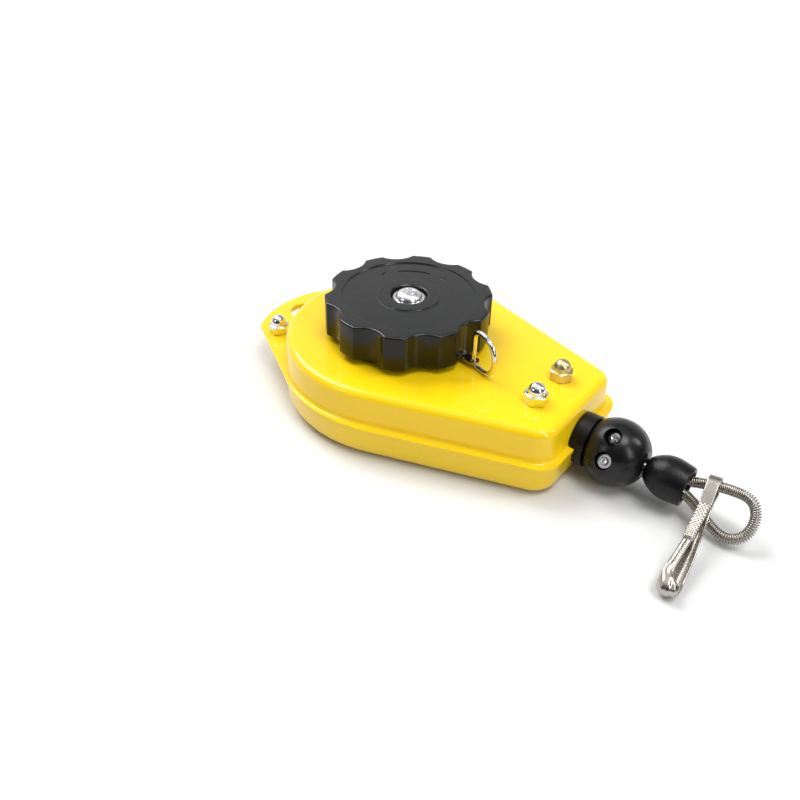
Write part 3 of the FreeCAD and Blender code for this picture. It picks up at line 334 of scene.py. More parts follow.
def frames_along(points, up):
    """Tangents and a stable pair of normals along a line of points."""
    out = []
    up = Vector(up)
    for i, p in enumerate(points):
        a = points[max(i - 1, 0)]
        b = points[min(i + 1, len(points) - 1)]
        t = (b - a).normalized()
        n = (up - t * up.dot(t)).normalized()
        out.append((p, t, n, t.cross(n)))
    return out


def catmull(points, per=8, closed=False):
    pts = [Vector(p) for p in points]
    n = len(pts)
    out = []
    last = n if closed else n - 1
    for i in range(last):
        if closed:
            p0, p1, p2, p3 = pts[(i - 1) % n], pts[i], pts[(i + 1) % n], pts[(i + 2) % n]
        else:
            p0, p1, p2, p3 = pts[max(i - 1, 0)], pts[i], pts[i + 1], pts[min(i + 2, n - 1)]
        for k in range(per):
            t = k / per
            out.append(
                0.5 * ((2 * p1) + (p2 - p0) * t + (2 * p0 - 5 * p1 + 4 * p2 - p3) * t * t + (3 * p1 - p0 - 3 * p2 + p3) * t**3)
            )
    if not closed:
        out.append(pts[-1])
    return out


def smoothstep(a, b, x):
    t = min(max((x - a) / (b - a), 0.0), 1.0)
    return t * t * (3 - 2 * t)


# ------------------------------------------------------------------ the rope loop, first, because it is a cord
ANCHOR = Vector((130.7, 0, 11.75))
EV = Vector((0, math.cos(math.radians(45)), math.sin(math.radians(45))))
LOOP_UV = [(-4.3, 1.5), (4.6, 4.1), (13.4, 5.6), (21.4, 5.4), (25.2, -0.8), (24.0, -8.6), (18.0, -12.0), (10.5, -9.2), (3.5, -4.2), (-4.3, -1.6)]
loop_points = [(ANCHOR + Vector((u, 0, 0)) + EV * v) * MM for u, v in LOOP_UV]


def nurbs(name, points, radius, material):
    cu_ = bpy.data.curves.new(name, "CURVE")
    cu_.dimensions = "3D"
    sp = cu_.splines.new("NURBS")
    sp.points.add(len(points) - 1)
    for q, p in zip(sp.points, points):
        q.co = (*p, 1.0)
    sp.order_u = 3
    sp.use_endpoint_u = True
    sp.resolution_u = 24
    cu_.bevel_depth = 0.0
    cu_.use_fill_caps = True
    cu_.materials.append(material)
    o = bpy.data.objects.new(name, cu_)
    bpy.context.scene.collection.objects.link(o)
    bpy.context.view_layer.update()
    dg = bpy.context.evaluated_depsgraph_get()
    me = bpy.data.meshes.new_from_object(o.evaluated_get(dg))
    line = [v.co.copy() for v in me.vertices]
    bpy.data.meshes.remove(me)
    cu_.bevel_depth = radius
    cu_.bevel_resolution = 6
    return o, line


rope_loop, loop_line = nurbs("rope_loop", loop_points, 1.25 * MM, M_ROPE)
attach(rope_loop, "cable_end")
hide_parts("loop_rope")
loop_len = sum((b - a).length for a, b in zip(loop_line, loop_line[1:]))


def resample(line, step):
    out, carry = [line[0].copy()], 0.0
    for a, b in zip(line, line[1:]):
        seg = (b - a).length
        while carry + seg >= step:
            t = (step - carry) / seg
            a = a.lerp(b, t)
            out.append(a.copy())
            seg = (b - a).length
            carry = 0.0
        carry += seg
    return out


# the coil over the rope: closed on the straight legs, opening where the loop bends
def coil(name, line, r_coil, r_wire, closed, opened, body, start, end, material, segs=20, sides=8):
    ds = 0.06 * MM
    fine = [p for i, p in enumerate(resample(line, ds)) if start <= i * ds <= end]
    m = len(fine) - 1
    reach = int(1.5 * MM / ds)
    theta = [0.0]
    for i in range(m):
        a, b, c = fine[max(i - reach, 0)], fine[i], fine[min(i + reach, m)]
        bend = 0.0
        if i > reach and i < m - reach:
            bend = (c - b).angle(b - a) / 1.5
        pitch = closed + (opened - closed) * smoothstep(0.015, 0.075, bend)
        theta.append(theta[-1] + 2 * math.pi * ds / pitch)
    n = Vector((0, -EV.z, EV.y))
    steps = int(theta[-1] / (2 * math.pi) * segs)
    verts, faces = [], []
    centre, middle = [], []
    i = 0
    for s in range(steps + 1):
        want = min(2 * math.pi * s / segs, theta[-1] - 1e-9)
        while theta[i + 1] < want:
            i += 1
        p = fine[i].lerp(fine[i + 1], (want - theta[i]) / (theta[i + 1] - theta[i]))
        t = (fine[min(i + 5, m)] - fine[max(i - 5, 0)]).normalized()
        a = (n - t * n.dot(t)).normalized()
        b = t.cross(a)
        middle.append(p)
        centre.append(p + (a * math.cos(want) + b * math.sin(want)) * r_coil)
    for s, c in enumerate(centre):
        t = (centre[min(s + 1, steps)] - centre[max(s - 1, 0)]).normalized()
        a = c - middle[s]
        a = (a - t * a.dot(t)).normalized()
        b = t.cross(a)
        for k in range(sides):
            w = 2 * math.pi * k / sides
            verts.append(c + (a * math.cos(w) + b * math.sin(w)) * r_wire)
    for s in range(steps):
        for k in range(sides):
            l = (k + 1) % sides
            faces.append((s * sides + k, s * sides + l, (s + 1) * sides + l, (s + 1) * sides + k))
    for s in (0, steps):
        f = [s * sides + k for k in range(sides)]
        faces.append(f if s else f[::-1])
    o = mesh_of(name, verts, faces, material)
    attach(o, body)
    return o


loop_coil = coil("loop_coil", loop_line, 1.80 * MM, 0.32 * MM, 0.665 * MM, 0.86 * MM, "cable_end", 3.4 * MM, loop_len - 3.4 * MM, M_COIL)
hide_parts("loop_spring")

# ------------------------------------------------------------------ tension knob
KR, KZ, KT = 35.0, 32.0, 47.2


def knob_radius(deg, inset=0.0):
    """Outline of the knob: a circle of crests cut by ten round scallops."""
    d = (deg - 27.0 + 18.0) % 36.0 - 18.0
    a = math.radians(d)
    reach, rho = KR - 3.2 + 10.0, 10.0 + inset
    crest = KR - inset
    s = rho * rho - (reach * math.sin(a)) ** 2
    if s <= 0:
        return crest
    cut = reach * math.cos(a) - math.sqrt(s)
    k = 0.22
    h = max(k - abs(crest - cut), 0.0) / k
    return min(crest, cut) - h * h * k * 0.25


def groove_line(d, half, depth, soft=0.12):
    """Depth of a round-bottomed groove at distance d from its middle."""
    return -depth * (1.0 - smoothstep(half - soft, half + soft, d))


def seg_dist(px, py, ax, ay, bx, by):
    vx, vy = bx - ax, by - ay
    t = max(0.0, min(1.0, ((px - ax) * vx + (py - ay) * vy) / (vx * vx + vy * vy)))
    return math.hypot(px - ax - vx * t, py - ay - vy * t)


def top_height(r, deg):
    """Height of the knob's top: rim, recessed disc with its arrow and signs, raised boss."""
    z = KT
    z -= 0.5 * (1.0 - smoothstep(27.75, 28.15, r))
    if r < 14.0:
        z = KT - 0.5 + 0.45 * (1.0 - smoothstep(13.05, 13.4, r))
        z -= 0.35 * (1.0 - smoothstep(7.75, 8.25, r))
    elif r < 27.0:
        x, y = r * math.cos(math.radians(deg)), r * math.sin(math.radians(deg))
        g = 0.0
        a = (deg - 90.0) % 360.0
        if 10.0 <= a <= 56.0:
            g = min(g, groove_line(abs(r - 20.8), 0.42, 0.45))
        else:
            for e in (100.0, 146.0):
                ex, ey = 20.8 * math.cos(math.radians(e)), 20.8 * math.sin(math.radians(e))
                g = min(g, groove_line(math.hypot(x - ex, y - ey), 0.42, 0.45))
        # arrow head at the left end of the arc
        hx, hy = 20.5 * math.cos(math.radians(160)), 20.5 * math.sin(math.radians(160))
        tx, ty = math.sin(math.radians(160)), -math.cos(math.radians(160))  # back along the arc
        nx, ny_ = math.cos(math.radians(160)), math.sin(math.radians(160))
        for side in (1, -1):
            ax, ay = hx + tx * 2.6 + nx * 1.7 * side, hy + ty * 2.6 + ny_ * 1.7 * side
            g = min(g, groove_line(seg_dist(x, y, hx, hy, ax, ay), 0.36, 0.40))
        # plus sign beyond the right end, minus sign outside the arrow head
        for cx_, cy_, plus in ((3.0, 20.4, True), (-20.2, 15.0, False)):
            rad = math.hypot(cx_, cy_)
            ux, uy = cx_ / rad, cy_ / rad
            vx, vy = -uy, ux
            g = min(g, groove_line(seg_dist(x, y, cx_ - vx * 1.5, cy_ - vy * 1.5, cx_ + vx * 1.5, cy_ + vy * 1.5), 0.3, 0.4))
            if plus:
                g = min(g, groove_line(seg_dist(x, y, cx_ - ux * 1.5, cy_ - uy * 1.5, cx_ + ux * 1.5, cy_ + uy * 1.5), 0.3, 0.4))
        z += g
    return z


def build_knob():
    n = 720
    degs = [i * 360.0 / n for i in range(n)]
    verts, faces, mats = [], [], []
    rings = []  # list of (function of deg -> (r, z), material)

    def ring(fn, mat):
        rings.append((fn, mat))

    # underside and hollow, from the hub outwards and down, then up the skirt
    ring(lambda d: (5.05, KZ), 0)
    ring(lambda d: (9.0, KZ), 0)
    ring(lambda d: (9.0, KT - 3.2), 0)
    ring(lambda d: (28.8, KT - 3.2), 0)
    ring(lambda d: (29.35, KZ + 0.3), 0)
    ring(lambda d: (29.6, KZ), 0)
    e = 0.35
    for k in range(4):
        t = math.pi / 2 * k / 3
        ring(lambda d, t=t: (knob_radius(d, e * (1 - math.sin(t))), KZ + e * (1 - math.cos(t))), 0)
    for z in (KZ + 3.0, KZ + 7.5, KT - 3.0):
        ring(lambda d, z=z: (knob_radius(d), z), 0)
    e2 = 0.8
    for k in range(7):
        t = math.pi / 2 * k / 6
        ring(lambda d, t=t: (knob_radius(d, e2 * (1 - math.cos(t))), KT - e2 + e2 * math.sin(t)), 0 if k < 3 else 1)
    for s in (0.25, 0.5, 0.75):
        ring(lambda d, s=s: ((knob_radius(d, e2)) * (1 - s) + 28.5 * s, KT), 1)
    radii = [28.5, 28.25, 28.1, 27.95, 27.8, 27.6, 27.2]
    r = 26.8
    while r > 15.0:
        radii.append(r)
        r -= 0.16
    radii += [14.6, 14.0, 13.55, 13.4, 13.3, 13.2, 13.1, 13.0, 12.6, 11.0, 9.5, 8.6, 8.3, 8.15, 8.0, 7.9, 7.8]
    for r in radii:
        ring(lambda d, r=r: (r, top_height(r, d)), 1)
    ring(lambda d: (7.75, KT - 2.0), 1)
    ring(lambda d: (7.6, KT - 2.2), 1)
    ring(lambda d: (2.65, KT - 2.2), 1)
    for fn, mat in rings:
        for d in degs:
            r, z = fn(d)
            a = math.radians(d)
            verts.append((r * math.cos(a) * MM, r * math.sin(a) * MM, z * MM))
    for i in range(len(rings) - 1):
        for k in range(n):
            l = (k + 1) % n
            faces.append((i * n + k, i * n + l, (i + 1) * n + l, (i + 1) * n + k))
            mats.append(rings[i][1])
    # hub bore
    base = len(rings) - 1
    for k in range(n):
        l = (k + 1) % n
        faces.append((base * n + k, base * n + l, l, k))
        mats.append(0)
    me = bpy.data.meshes.new("knob")
    me.from_pydata(verts, [], faces)
    o = link("knob", me, M_KNOB, M_KNOB_TOP)
    me.polygons.foreach_set("material_index", mats)
    bm = bmesh.new()
    bm.from_mesh(me)
    bmesh.ops.recalc_face_normals(bm, faces=bm.faces)
    bm.to_mesh(me)
    bm.free()
    finish_shading(o, True, 42.0)
    return o


knob = build_knob()
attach(knob, "knob")
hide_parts("tension_knob")


# ------------------------------------------------------------------ screws and nuts
def polar_solid(name, centre, axis, rows, material, n=96, turn=0.0, split=38.0, twist_axis=None):
    """rows is a list of functions of angle in degrees giving (height along axis, radius); closed at both ends."""
    axis = Vector(axis).normalized()
    u = Vector(twist_axis) if twist_axis is not None else axis.orthogonal()
    u = (u - axis * u.dot(axis)).normalized()
    v = axis.cross(u)
    c = Vector(centre)
    verts, faces = [], []
    for row in rows:
        for k in range(n):
            d = 360.0 * k / n
            h, r = row(d)
            a = math.radians(d + turn)
            verts.append((c + axis * h + (u * math.cos(a) + v * math.sin(a)) * r) * MM)
    for i in range(len(rows) - 1):
        for k in range(n):
            l = (k + 1) % n
            faces.append((i * n + k, i * n + l, (i + 1) * n + l, (i + 1) * n + k))
    for i in (0, len(rows) - 1):
        mid = sum((verts[i * n + k] for k in range(n)), Vector()) / n
        verts.append(mid)
        for k in range(n):
            l = (k + 1) % n
            f = (len(verts) - 1, i * n + l, i * n + k)
            faces.append(f if i == 0 else f[::-1])
    return mesh_of(name, verts, faces, material, split=split)


def hex_r(d, af, soft=0.0):
    a = math.radians((d + 30.0) % 60.0 - 30.0)
    r = af / 2 / math.cos(a)
    return min(r, af / 2 / math.cos(math.radians(30)) - soft)


def cap_nut(name, x, y, base, af, hex_h, dome_r, total, turn, material=None, body="housing"):
    corner = af / math.sqrt(3)
    rows = [lambda d: (0.0, 0.55 * af / 2)]

    def chamfered(h, lift, top):
        """The hexagon's radius at height h, limited by the 30 degree chamfer cones."""
        def row(d):
            lim_top = af / 2 * 0.955 + max(top - h, 0.0) / math.tan(math.radians(30))
            lim_low = af / 2 * 0.97 + max(h - lift, 0.0) / math.tan(math.radians(30))
            return h, min(hex_r(d, af, 0.12), lim_top, lim_low)
        return row

    for h in (0.0, 0.12, 0.25, 0.4, 0.6, 0.9):
        rows.append(chamfered(h, 0.0, hex_h))
    for h in (hex_h - 0.9, hex_h - 0.6, hex_h - 0.45, hex_h - 0.3, hex_h - 0.15, hex_h):
        rows.append(chamfered(h, 0.0, hex_h))
    rows.append(lambda d: (hex_h + 0.02, dome_r + 0.28))
    rows.append(lambda d: (hex_h + 0.10, dome_r + 0.05))
    rows.append(lambda d: (hex_h + 0.28, dome_r))
    straight = max(total - dome_r, hex_h + 0.35)
    rise = total - straight
    for k in range(0, 17):
        t = math.pi / 2 * k / 17.0
        rows.append(lambda d, t=t: (straight + rise * math.sin(t), dome_r * math.cos(t)))
    o = polar_solid(name, (x, y, base), (0, 0, 1), rows, material or M_ZINC, n=144, turn=turn, twist_axis=(1, 0, 0), split=26.0)
    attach(o, body)
    return o


ear_c, ear_s = math.cos(math.radians(-1.86)), math.sin(math.radians(-1.86))


def on_ear(x, y):
    return x * ear_c - y * ear_s, x * ear_s + y * ear_c


nut_a = cap_nut("nose_nut_near", 68.4, -10.0, 29.2, 8.7, 4.2, 3.6, 8.4, -55.0)
# far nose nut: the same zinc part as the near one, given the copy whose gold colour is a painted reflection of the
# yellow housing
nut_b = cap_nut("nose_nut_far", 68.4, 10.0, 29.2, 8.7, 4.2, 3.6, 8.4, -38.0, M_ZINC_PAINTED_REFLECTION)
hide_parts("nose_cap_nuts")
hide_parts("nose_cap_nuts")
ex, ey = on_ear(-57.97, -20.39)
nut_c = cap_nut("ear_nut_near", ex, ey, 15.2, 8.0, 4.0, 3.4, 8.2, 20.0)
ex, ey = on_ear(-57.97, 20.39)
nut_d = cap_nut("ear_nut_far", ex, ey, 15.2, 8.0, 4.0, 3.4, 8.2, 5.0)
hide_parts("ear_cap_nuts")
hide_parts("ear_cap_nuts")


def cross_cut(x, y, arm, half, depth, soft=0.25):
    """Depth of a cross recess that gets shallower towards its arms' ends."""
    d = 1e9
    for (px, py) in ((x, y), (y, x)):
        along, off = abs(px), abs(py)
        w = half * (1.0 - 0.30 * along / arm)
        side = 1.0 - smoothstep(w - 0.10, w + 0.10, off)
        fade = 1.0 - smoothstep(arm * 0.35, arm, along)
        d = min(d, -depth * side * fade)
    return d


def pan_head(name, centre, axis, r_head, rise, skirt, material, body, turn=0.0, arm=2.9, half=0.62, depth=1.9, twist=(1, 0, 0)):
    """A pan head with its cross recess, as a polar height field on a short skirt."""
    axis = Vector(axis).normalized()
    u = Vector(twist)
    u = (u - axis * u.dot(axis)).normalized()
    v = axis.cross(u)
    c = Vector(centre)
    n = 160
    profile = [(0.0, 0.0)]
    verts, faces = [], []
    radii = [r_head * k / 44.0 for k in range(1, 45)]
    def top(r):
        s = r / r_head
        return rise * (1.0 - 0.35 * s * s - 0.65 * s**7) if s < 1 else 0.0
    rings = []
    for r in radii:
        row = []
        for k in range(n):
            a = 2 * math.pi * k / n
            x, y = r * math.cos(a + math.radians(turn)), r * math.sin(a + math.radians(turn))
            h = top(r) + cross_cut(x, y, arm, half, depth)
            row.append((c + axis * (skirt + h) + (u * math.cos(a) + v * math.sin(a)) * r) * MM)
        rings.append(row)
    low = [(c + axis * 0.0 + (u * math.cos(2 * math.pi * k / n) + v * math.sin(2 * math.pi * k / n)) * r_head) * MM for k in range(n)]
    rings.append(low)
    verts.append((c + axis * (skirt + top(0.0) - depth)) * MM)
    for row in rings:
        verts += row
    for k in range(n):
        faces.append((0, 1 + k, 1 + (k + 1) % n))
    for i in range(len(rings) - 1):
        for k in range(n):
            l = (k + 1) % n
            faces.append((1 + i * n + k, 1 + (i + 1) * n + k, 1 + (i + 1) * n + l, 1 + i * n + l))
    base = 1 + (len(rings) - 1) * n
    verts.append(c * MM)
    for k in range(n):
        faces.append((len(verts) - 1, base + (k + 1) % n, base + k))
    o = mesh_of(name, verts, faces, material, split=50.0)
    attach(o, body)
    return o


screw = pan_head("knob_centre_screw", (0, 0, KT - 1.3), (0, 0, 1), 5.5, 2.2, 0.55, M_ZINC_SOFT, "knob", turn=24.0)
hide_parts("knob_screw")

# ------------------------------------------------------------------ outlet grommet, stop ball, sleeve
AX = 13.7
profile = rounded(
    [(81.2, 2.2), (86.5, 2.2), (87.15, 4.2), (87.95, 6.2), (89.1, 8.1), (90.4, 9.6), (90.4, 10.5), (84.2, 10.5), (84.2, 8.0), (82.7, 8.0), (82.7, 9.6), (81.2, 9.6)],
    [0.6, 0.5, 1.0, 1.0, 1.0, 0.35, 0.45, 0.6, 0.2, 0.2, 0.3, 0.3], 5,
)
grommet = turned("outlet_bush", profile, (0, 0, AX), (1, 0, 0), M_GROMMET, n=128)
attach(grommet, "housing")
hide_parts("outlet_grommet")

NB = Vector((0, -0.788, 0.616)).normalized()
SB = Vector((0, 0.616, 0.788)).normalized()
BC = Vector((100.2, 0, AX))
BR = 13.4


def apply_boolean(o, tool, op="DIFFERENCE"):
    md = o.modifiers.new("cut", "BOOLEAN")
    md.object = tool
    md.operation = op
    md.solver = "EXACT"
    bpy.context.view_layer.update()
    dg = bpy.context.evaluated_depsgraph_get()
    me = bpy.data.meshes.new_from_object(o.evaluated_get(dg))
    o.modifiers.clear()
    old = o.data
    o.data = me
    bpy.data.meshes.remove(old)
    bpy.data.objects.remove(tool)


def half_ball(name, n):
    """One half of the stop ball: round outside, flat at the split plane, with both counterbored screw holes."""
    side = n
    u = Vector((1, 0, 0))
    v = side.cross(u)
    verts, faces = [], []
    m, k_n = 56, 160
    rings = []
    gap = 0.14
    for i in range(m + 1):
        t = math.pi / 2 * (1 - i / m)
        h = BR * math.cos(t)
        if i == 0:
            h = gap
        r = math.sqrt(max(BR * BR - h * h, 0.0))
        rings.append((h, r))
    # small round at the split edge
    rings = [(gap, 0.0), (gap, BR - 0.5), (gap + 0.02, BR - 0.28), (gap + 0.10, BR - 0.12), (gap + 0.24, BR - 0.035)] + [x for x in rings if x[0] > gap + 0.45]
    for h, r in rings:
        for k in range(k_n):
            a = 2 * math.pi * k / k_n
            verts.append((BC + side * h + (u * math.cos(a) + v * math.sin(a)) * max(r, 1e-4)) * MM)
    for i in range(len(rings) - 1):
        for k in range(k_n):
            l = (k + 1) % k_n
            faces.append((i * k_n + k, i * k_n + l, (i + 1) * k_n + l, (i + 1) * k_n + k))
    o = mesh_of(name, verts, faces, M_BALL)
    cutter = bmesh.new()
    bmesh.ops.create_cube(cutter, size=1.0)
    me = bpy.data.meshes.new("flat_tool")
    cutter.to_mesh(me)
    cutter.free()
    tool = bpy.data.objects.new("flat_tool", me)
    bpy.context.scene.collection.objects.link(tool)
    tool.matrix_world = Matrix.Translation(Vector((112.4 + 10, 0, AX)) * MM) @ Matrix.Diagonal((0.02, 0.04, 0.04, 1))
    apply_boolean(o, tool)
    for s, off in ((1, 1), (-1, -1)):
        at = BC + SB * 4.8 * s - Vector((0.4, 0, 0))
        # counterbore with a rounded mouth, following the ball's curve
        tool = turned("bore_tool", [(6.6, 0.01), (6.6, 3.4), (6.8, 3.5), (16.0, 3.5), (16.0, 0.01)], at, side, M_BALL, n=72)
        apply_boolean(o, tool)
    tool = turned("rope_tool", [(-20.0, 0.01), (-20.0, 1.27), (5.8, 1.27), (12.4, 2.8), (12.4, 0.01)], BC, (1, 0, 0), M_BALL, n=48)
    apply_boolean(o, tool)
    bm = bmesh.new()
    bm.from_mesh(o.data)
    bmesh.ops.remove_doubles(bm, verts=bm.verts, dist=2e-6)
    bmesh.ops.dissolve_degenerate(bm, edges=bm.edges, dist=1e-6)
    bm.to_mesh(o.data)
    bm.free()
    bev = o.modifiers.new("edge", "BEVEL")
    bev.width = 0.28 * MM
    bev.segments = 3
    bev.limit_method = "ANGLE"
    bev.angle_limit = math.radians(38)
    bev.harden_normals = False
    bpy.context.view_layer.update()
    dg = bpy.context.evaluated_depsgraph_get()
    me = bpy.data.meshes.new_from_object(o.evaluated_get(dg))
    o.modifiers.clear()
    o.data = me
    finish_shading(o, True, 45.0)
    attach(o, "cable_end")
    return o


front = half_ball("ball_half_front", NB)
back = half_ball("ball_half_back", -NB)
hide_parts("stop_ball_front")
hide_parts("stop_ball_back")

for i, (s, n_) in enumerate(((1, NB), (-1, -NB))):
    at = BC + SB * 4.8 * s - Vector((0.4, 0, 0))
    head = pan_head("ball_screw_%d" % (i + 1), at + n_ * 6.6, n_, 2.85, 1.15, 0.75, M_ZINC, "cable_end", turn=20.0, arm=1.7, half=0.36, depth=1.1)
    if i == 0:
        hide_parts("ball_screws")
    # the nut at the other side, with the screw's end standing in it
    m_ = -n_
    rows = [lambda d: (0.0, 1.45), lambda d: (0.0, hex_r(d, 5.5, 0.1))]
    rows += [lambda d: (1.6, hex_r(d, 5.5, 0.1))]
    for h in (1.75, 1.9, 2.05, 2.2):
        rows.append(lambda d, h=h: (h, min(hex_r(d, 5.5, 0.1), 2.62 + (2.2 - h) * 1.7)))
    rows.append(lambda d: (2.2, 1.75))
    rows.append(lambda d: (2.0, 1.52))
    nut = polar_solid("ball_nut_%d" % (i + 1), at + m_ * 6.6, m_, rows, M_ZINC_SOFT, n=96, twist_axis=(1, 0, 0), split=26.0)
    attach(nut, "cable_end")
    if i == 0:
        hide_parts("ball_nuts")
    end = polar_solid("ball_screw_end_%d" % (i + 1), at + m_ * 6.6, m_, [lambda d: (0.1, 1.48), lambda d: (2.2, 1.48), lambda d: (2.5, 1.25), lambda d: (2.55, 0.8), lambda d: (2.45, 0.4)], M_ZINC_SOFT, n=48, split=26.0)
    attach(end, "cable_end")

# ferrule sleeve: a soft bell turned about its own tilted axis
S0 = Vector((112.75, 0, 13.0))
SA = Vector((math.cos(math.radians(4.4)), 0, -math.sin(math.radians(4.4))))
outer = [(0.0, 1.95), (0.0, 2.6), (0.12, 3.2), (0.6, 4.35), (1.3, 5.1), (2.3, 5.95), (3.8, 6.9), (5.8, 7.85), (7.2, 8.25), (8.6, 8.48), (10.0, 8.55), (11.5, 8.48), (13.0, 8.34), (14.6, 8.12), (16.0, 7.92), (16.6, 7.78), (16.85, 7.5), (16.9, 7.15), (16.82, 6.8), (16.5, 6.52)]
inner = [(12.5, 6.35), (12.4, 6.2), (12.4, 4.1), (1.6, 4.1), (1.6, 1.95)]
sleeve = turned("rubber_sleeve", outer + inner, S0, SA, M_SLEEVE, n=128, split=50.0)
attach(sleeve, "cable_end")
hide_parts("ferrule_sleeve")

# ------------------------------------------------------------------ pull ring: a D of polished wire
def tube(name, points, radius, material, sides=20, closed=True):
    pts = points
    n = len(pts)
    verts, faces = [], []
    prev = None
    for i, p in enumerate(pts):
        a = pts[(i - 1) % n] if closed else pts[max(i - 1, 0)]
        b = pts[(i + 1) % n] if closed else pts[min(i + 1, n - 1)]
        t = (b - a).normalized()
        if prev is None:
            prev = t.orthogonal().normalized()
        prev = (prev - t * prev.dot(t)).normalized()
        q = t.cross(prev)
        for k in range(sides):
            w = 2 * math.pi * k / sides
            verts.append(p + (prev * math.cos(w) + q * math.sin(w)) * radius)
    last = n if closed else n - 1
    for i in range(last):
        j = (i + 1) % n
        for k in range(sides):
            l = (k + 1) % sides
            faces.append((i * sides + k, i * sides + l, j * sides + l, j * sides + k))
    if not closed:
        faces.append([k for k in range(sides)][::-1])
        faces.append([(n - 1) * sides + k for k in range(sides)])
    return mesh_of(name, verts, faces, material)


zb = 29.2 + 0.06 + 1.0
ring_a = math.radians(-22.0)
px, py = 36.7 * math.cos(math.radians(-7.5)), 36.7 * math.sin(math.radians(-7.5))
d_shape = [(0, 7.4), (0, 4.0), (0.0, 1.4), (0.35, 0.35), (1.5, 0.0), (4.5, 0.05), (7.4, 0.15), (9.6, 0.85), (11.6, 2.6), (12.9, 4.9), (13.4, 7.4), (13.2, 9.9), (12.3, 12.3), (10.6, 14.3), (8.2, 15.7), (5.6, 16.2), (3.2, 16.05), (1.3, 15.3), (0.3, 14.2), (0.0, 12.8), (0, 10.2)]
ring_pts = catmull([Vector((px + u * math.cos(ring_a), py + u * math.sin(ring_a), zb + w)) * MM for u, w in d_shape], 8, closed=True)
ring = tube("wire_ring", ring_pts, 1.0 * MM, M_RING)
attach(ring, "pull_ring")
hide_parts("pull_ring")

# pawl spring: a bowed wire that flattens against its guide as the pawl is drawn out; built here in its bowed shape
# only, fixed to the housing
pawl_a = math.radians(-7.5)
bow = [(21.55, -7.0), (20.9, -6.0), (19.9, -4.3), (19.0, -2.4), (18.55, -0.9), (18.5, 0.0), (18.55, 0.9), (19.0, 2.4), (19.9, 4.3), (20.9, 6.0), (21.55, 7.0)]
bow_pts = catmull([Vector((x * math.cos(pawl_a) - y * math.sin(pawl_a), x * math.sin(pawl_a) + y * math.cos(pawl_a), 33.2)) * MM for x, y in bow], 6)
pawl_bow = tube("pawl_bow_spring", bow_pts, 0.22 * MM, M_BLUED, sides=12, closed=False)
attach(pawl_bow, "housing")
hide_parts("pawl_spring")
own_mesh(pawl_bow)

# ------------------------------------------------------------------ snap hook
EYE = Vector((138.5, 3.05, 14.75))
NOSE = Vector((142.6, -41.9, 4.35))
HX = (NOSE - EYE).normalized()
REACH = (NOSE - EYE).length
WD = Vector((0.994, 0.078, 0.078))
WZ = (WD - HX * WD.dot(HX)).normalized()
NY = HX.cross(WZ)
HZ = HX.cross(NY)


def hook_point(x, y, z):
    return (EYE + HX * x + NY * y + HZ * z) * MM


def strip_loft(name, line, section, material, body):
    """line: points (x, y) down the hook; section(i, n, x, y) gives the outline as (offset along normal, across) pairs."""
    n = len(line)
    rings = []
    for i, (x, y) in enumerate(line):
        a, b = line[max(i - 1, 0)], line[min(i + 1, n - 1)]
        tx, ty = b[0] - a[0], b[1] - a[1]
        l = math.hypot(tx, ty)
        nx_, ny_ = -ty / l, tx / l
        rings.append([hook_point(x + nx_ * o, y + ny_ * o, z) for o, z in section(i, n, x, y)])
    o = loft(name, rings, material, split=48.0)
    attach(o, body)
    return o


def plan_curve(points, per=10):
    return [(p.x, p.y) for p in catmull([Vector((x, y, 0)) for x, y in points], per)]


T = 0.9
ACROSS = 30


def strip_outline(width, shape_in, shape_out, centre=0.0, thick=T):
    """The outline of a pressed strip: shape_in and shape_out give the offset of its two faces across the strip."""
    h, w = thick / 2, width / 2
    r = h * 0.72
    face_in, face_out = [], []
    for k in range(ACROSS + 1):
        v = -w + 2 * w * k / ACROSS
        edge = w - abs(v)
        drop = 0.0 if edge > r else r - math.sqrt(max(r * r - (r - edge) ** 2, 0.0))
        face_in.append((h - drop + shape_in(v), centre + v))
        face_out.append((-h + drop + shape_out(v), centre + v))
    return face_in + face_out[::-1]


def knurl(x, v):
    """Rows of small raised points pressed into the strip, three across in staggered lines."""
    pitch = 1.64
    best = 0.0
    row = math.floor((x - 9.6) / (pitch / 2))
    for r_ in (row - 1, row, row + 1, row + 2):
        cx_ = 9.6 + r_ * pitch / 2
        if cx_ < 9.5 or cx_ > 27.0:
            continue
        for c_ in ((-1.36, 0.0, 1.36) if r_ % 2 == 0 else (-0.68, 0.68)):
            d = math.hypot((x - cx_) / 0.66, (v - c_) / 0.62)
            if d < 1.0:
                best = max(best, 0.34 * (1.0 - d * d))
    return best


def bump_at(v, at, width, height):
    return height * math.exp(-(((v - at) / width) ** 2))


def along(table, x):
    if x <= table[0][0]:
        return table[0][1]
    for (x0, y0), (x1, y1) in zip(table, table[1:]):
        if x <= x1:
            return y0 + (y1 - y0) * (x - x0) / (x1 - x0)
    return table[-1][1]


# body: eye round the rope, back strip with its turned-up edge, the rounded nose and the ridged lip
back_line = plan_curve(
    [(9.3, 0.62), (8.1, 1.0), (6.6, 1.55), (4.4, 2.4), (2.2, 3.05), (0.2, 3.35), (-1.7, 3.0), (-3.05, 1.85), (-3.6, 0.0), (-3.05, -1.85), (-1.7, -3.0), (0.2, -3.35), (2.4, -3.0), (4.8, -2.3), (7.2, -1.5),
     (9.4, -1.2), (11.5, -1.35), (14.0, -1.7), (18.0, -2.4), (23.0, -3.05), (28.0, -3.4), (34.0, -3.5), (40.0, -3.5), (44.6, -3.5), (47.3, -3.25), (49.2, -2.3), (50.2, -0.9), (50.3, 0.7), (49.6, 2.1), (48.0, 3.1),
     (45.6, 3.5), (41.4, 3.35), (37.0, 3.05), (33.0, 2.8), (29.5, 2.5), (26.6, 2.3)],
    9,
)
n_eye = 14 * 9
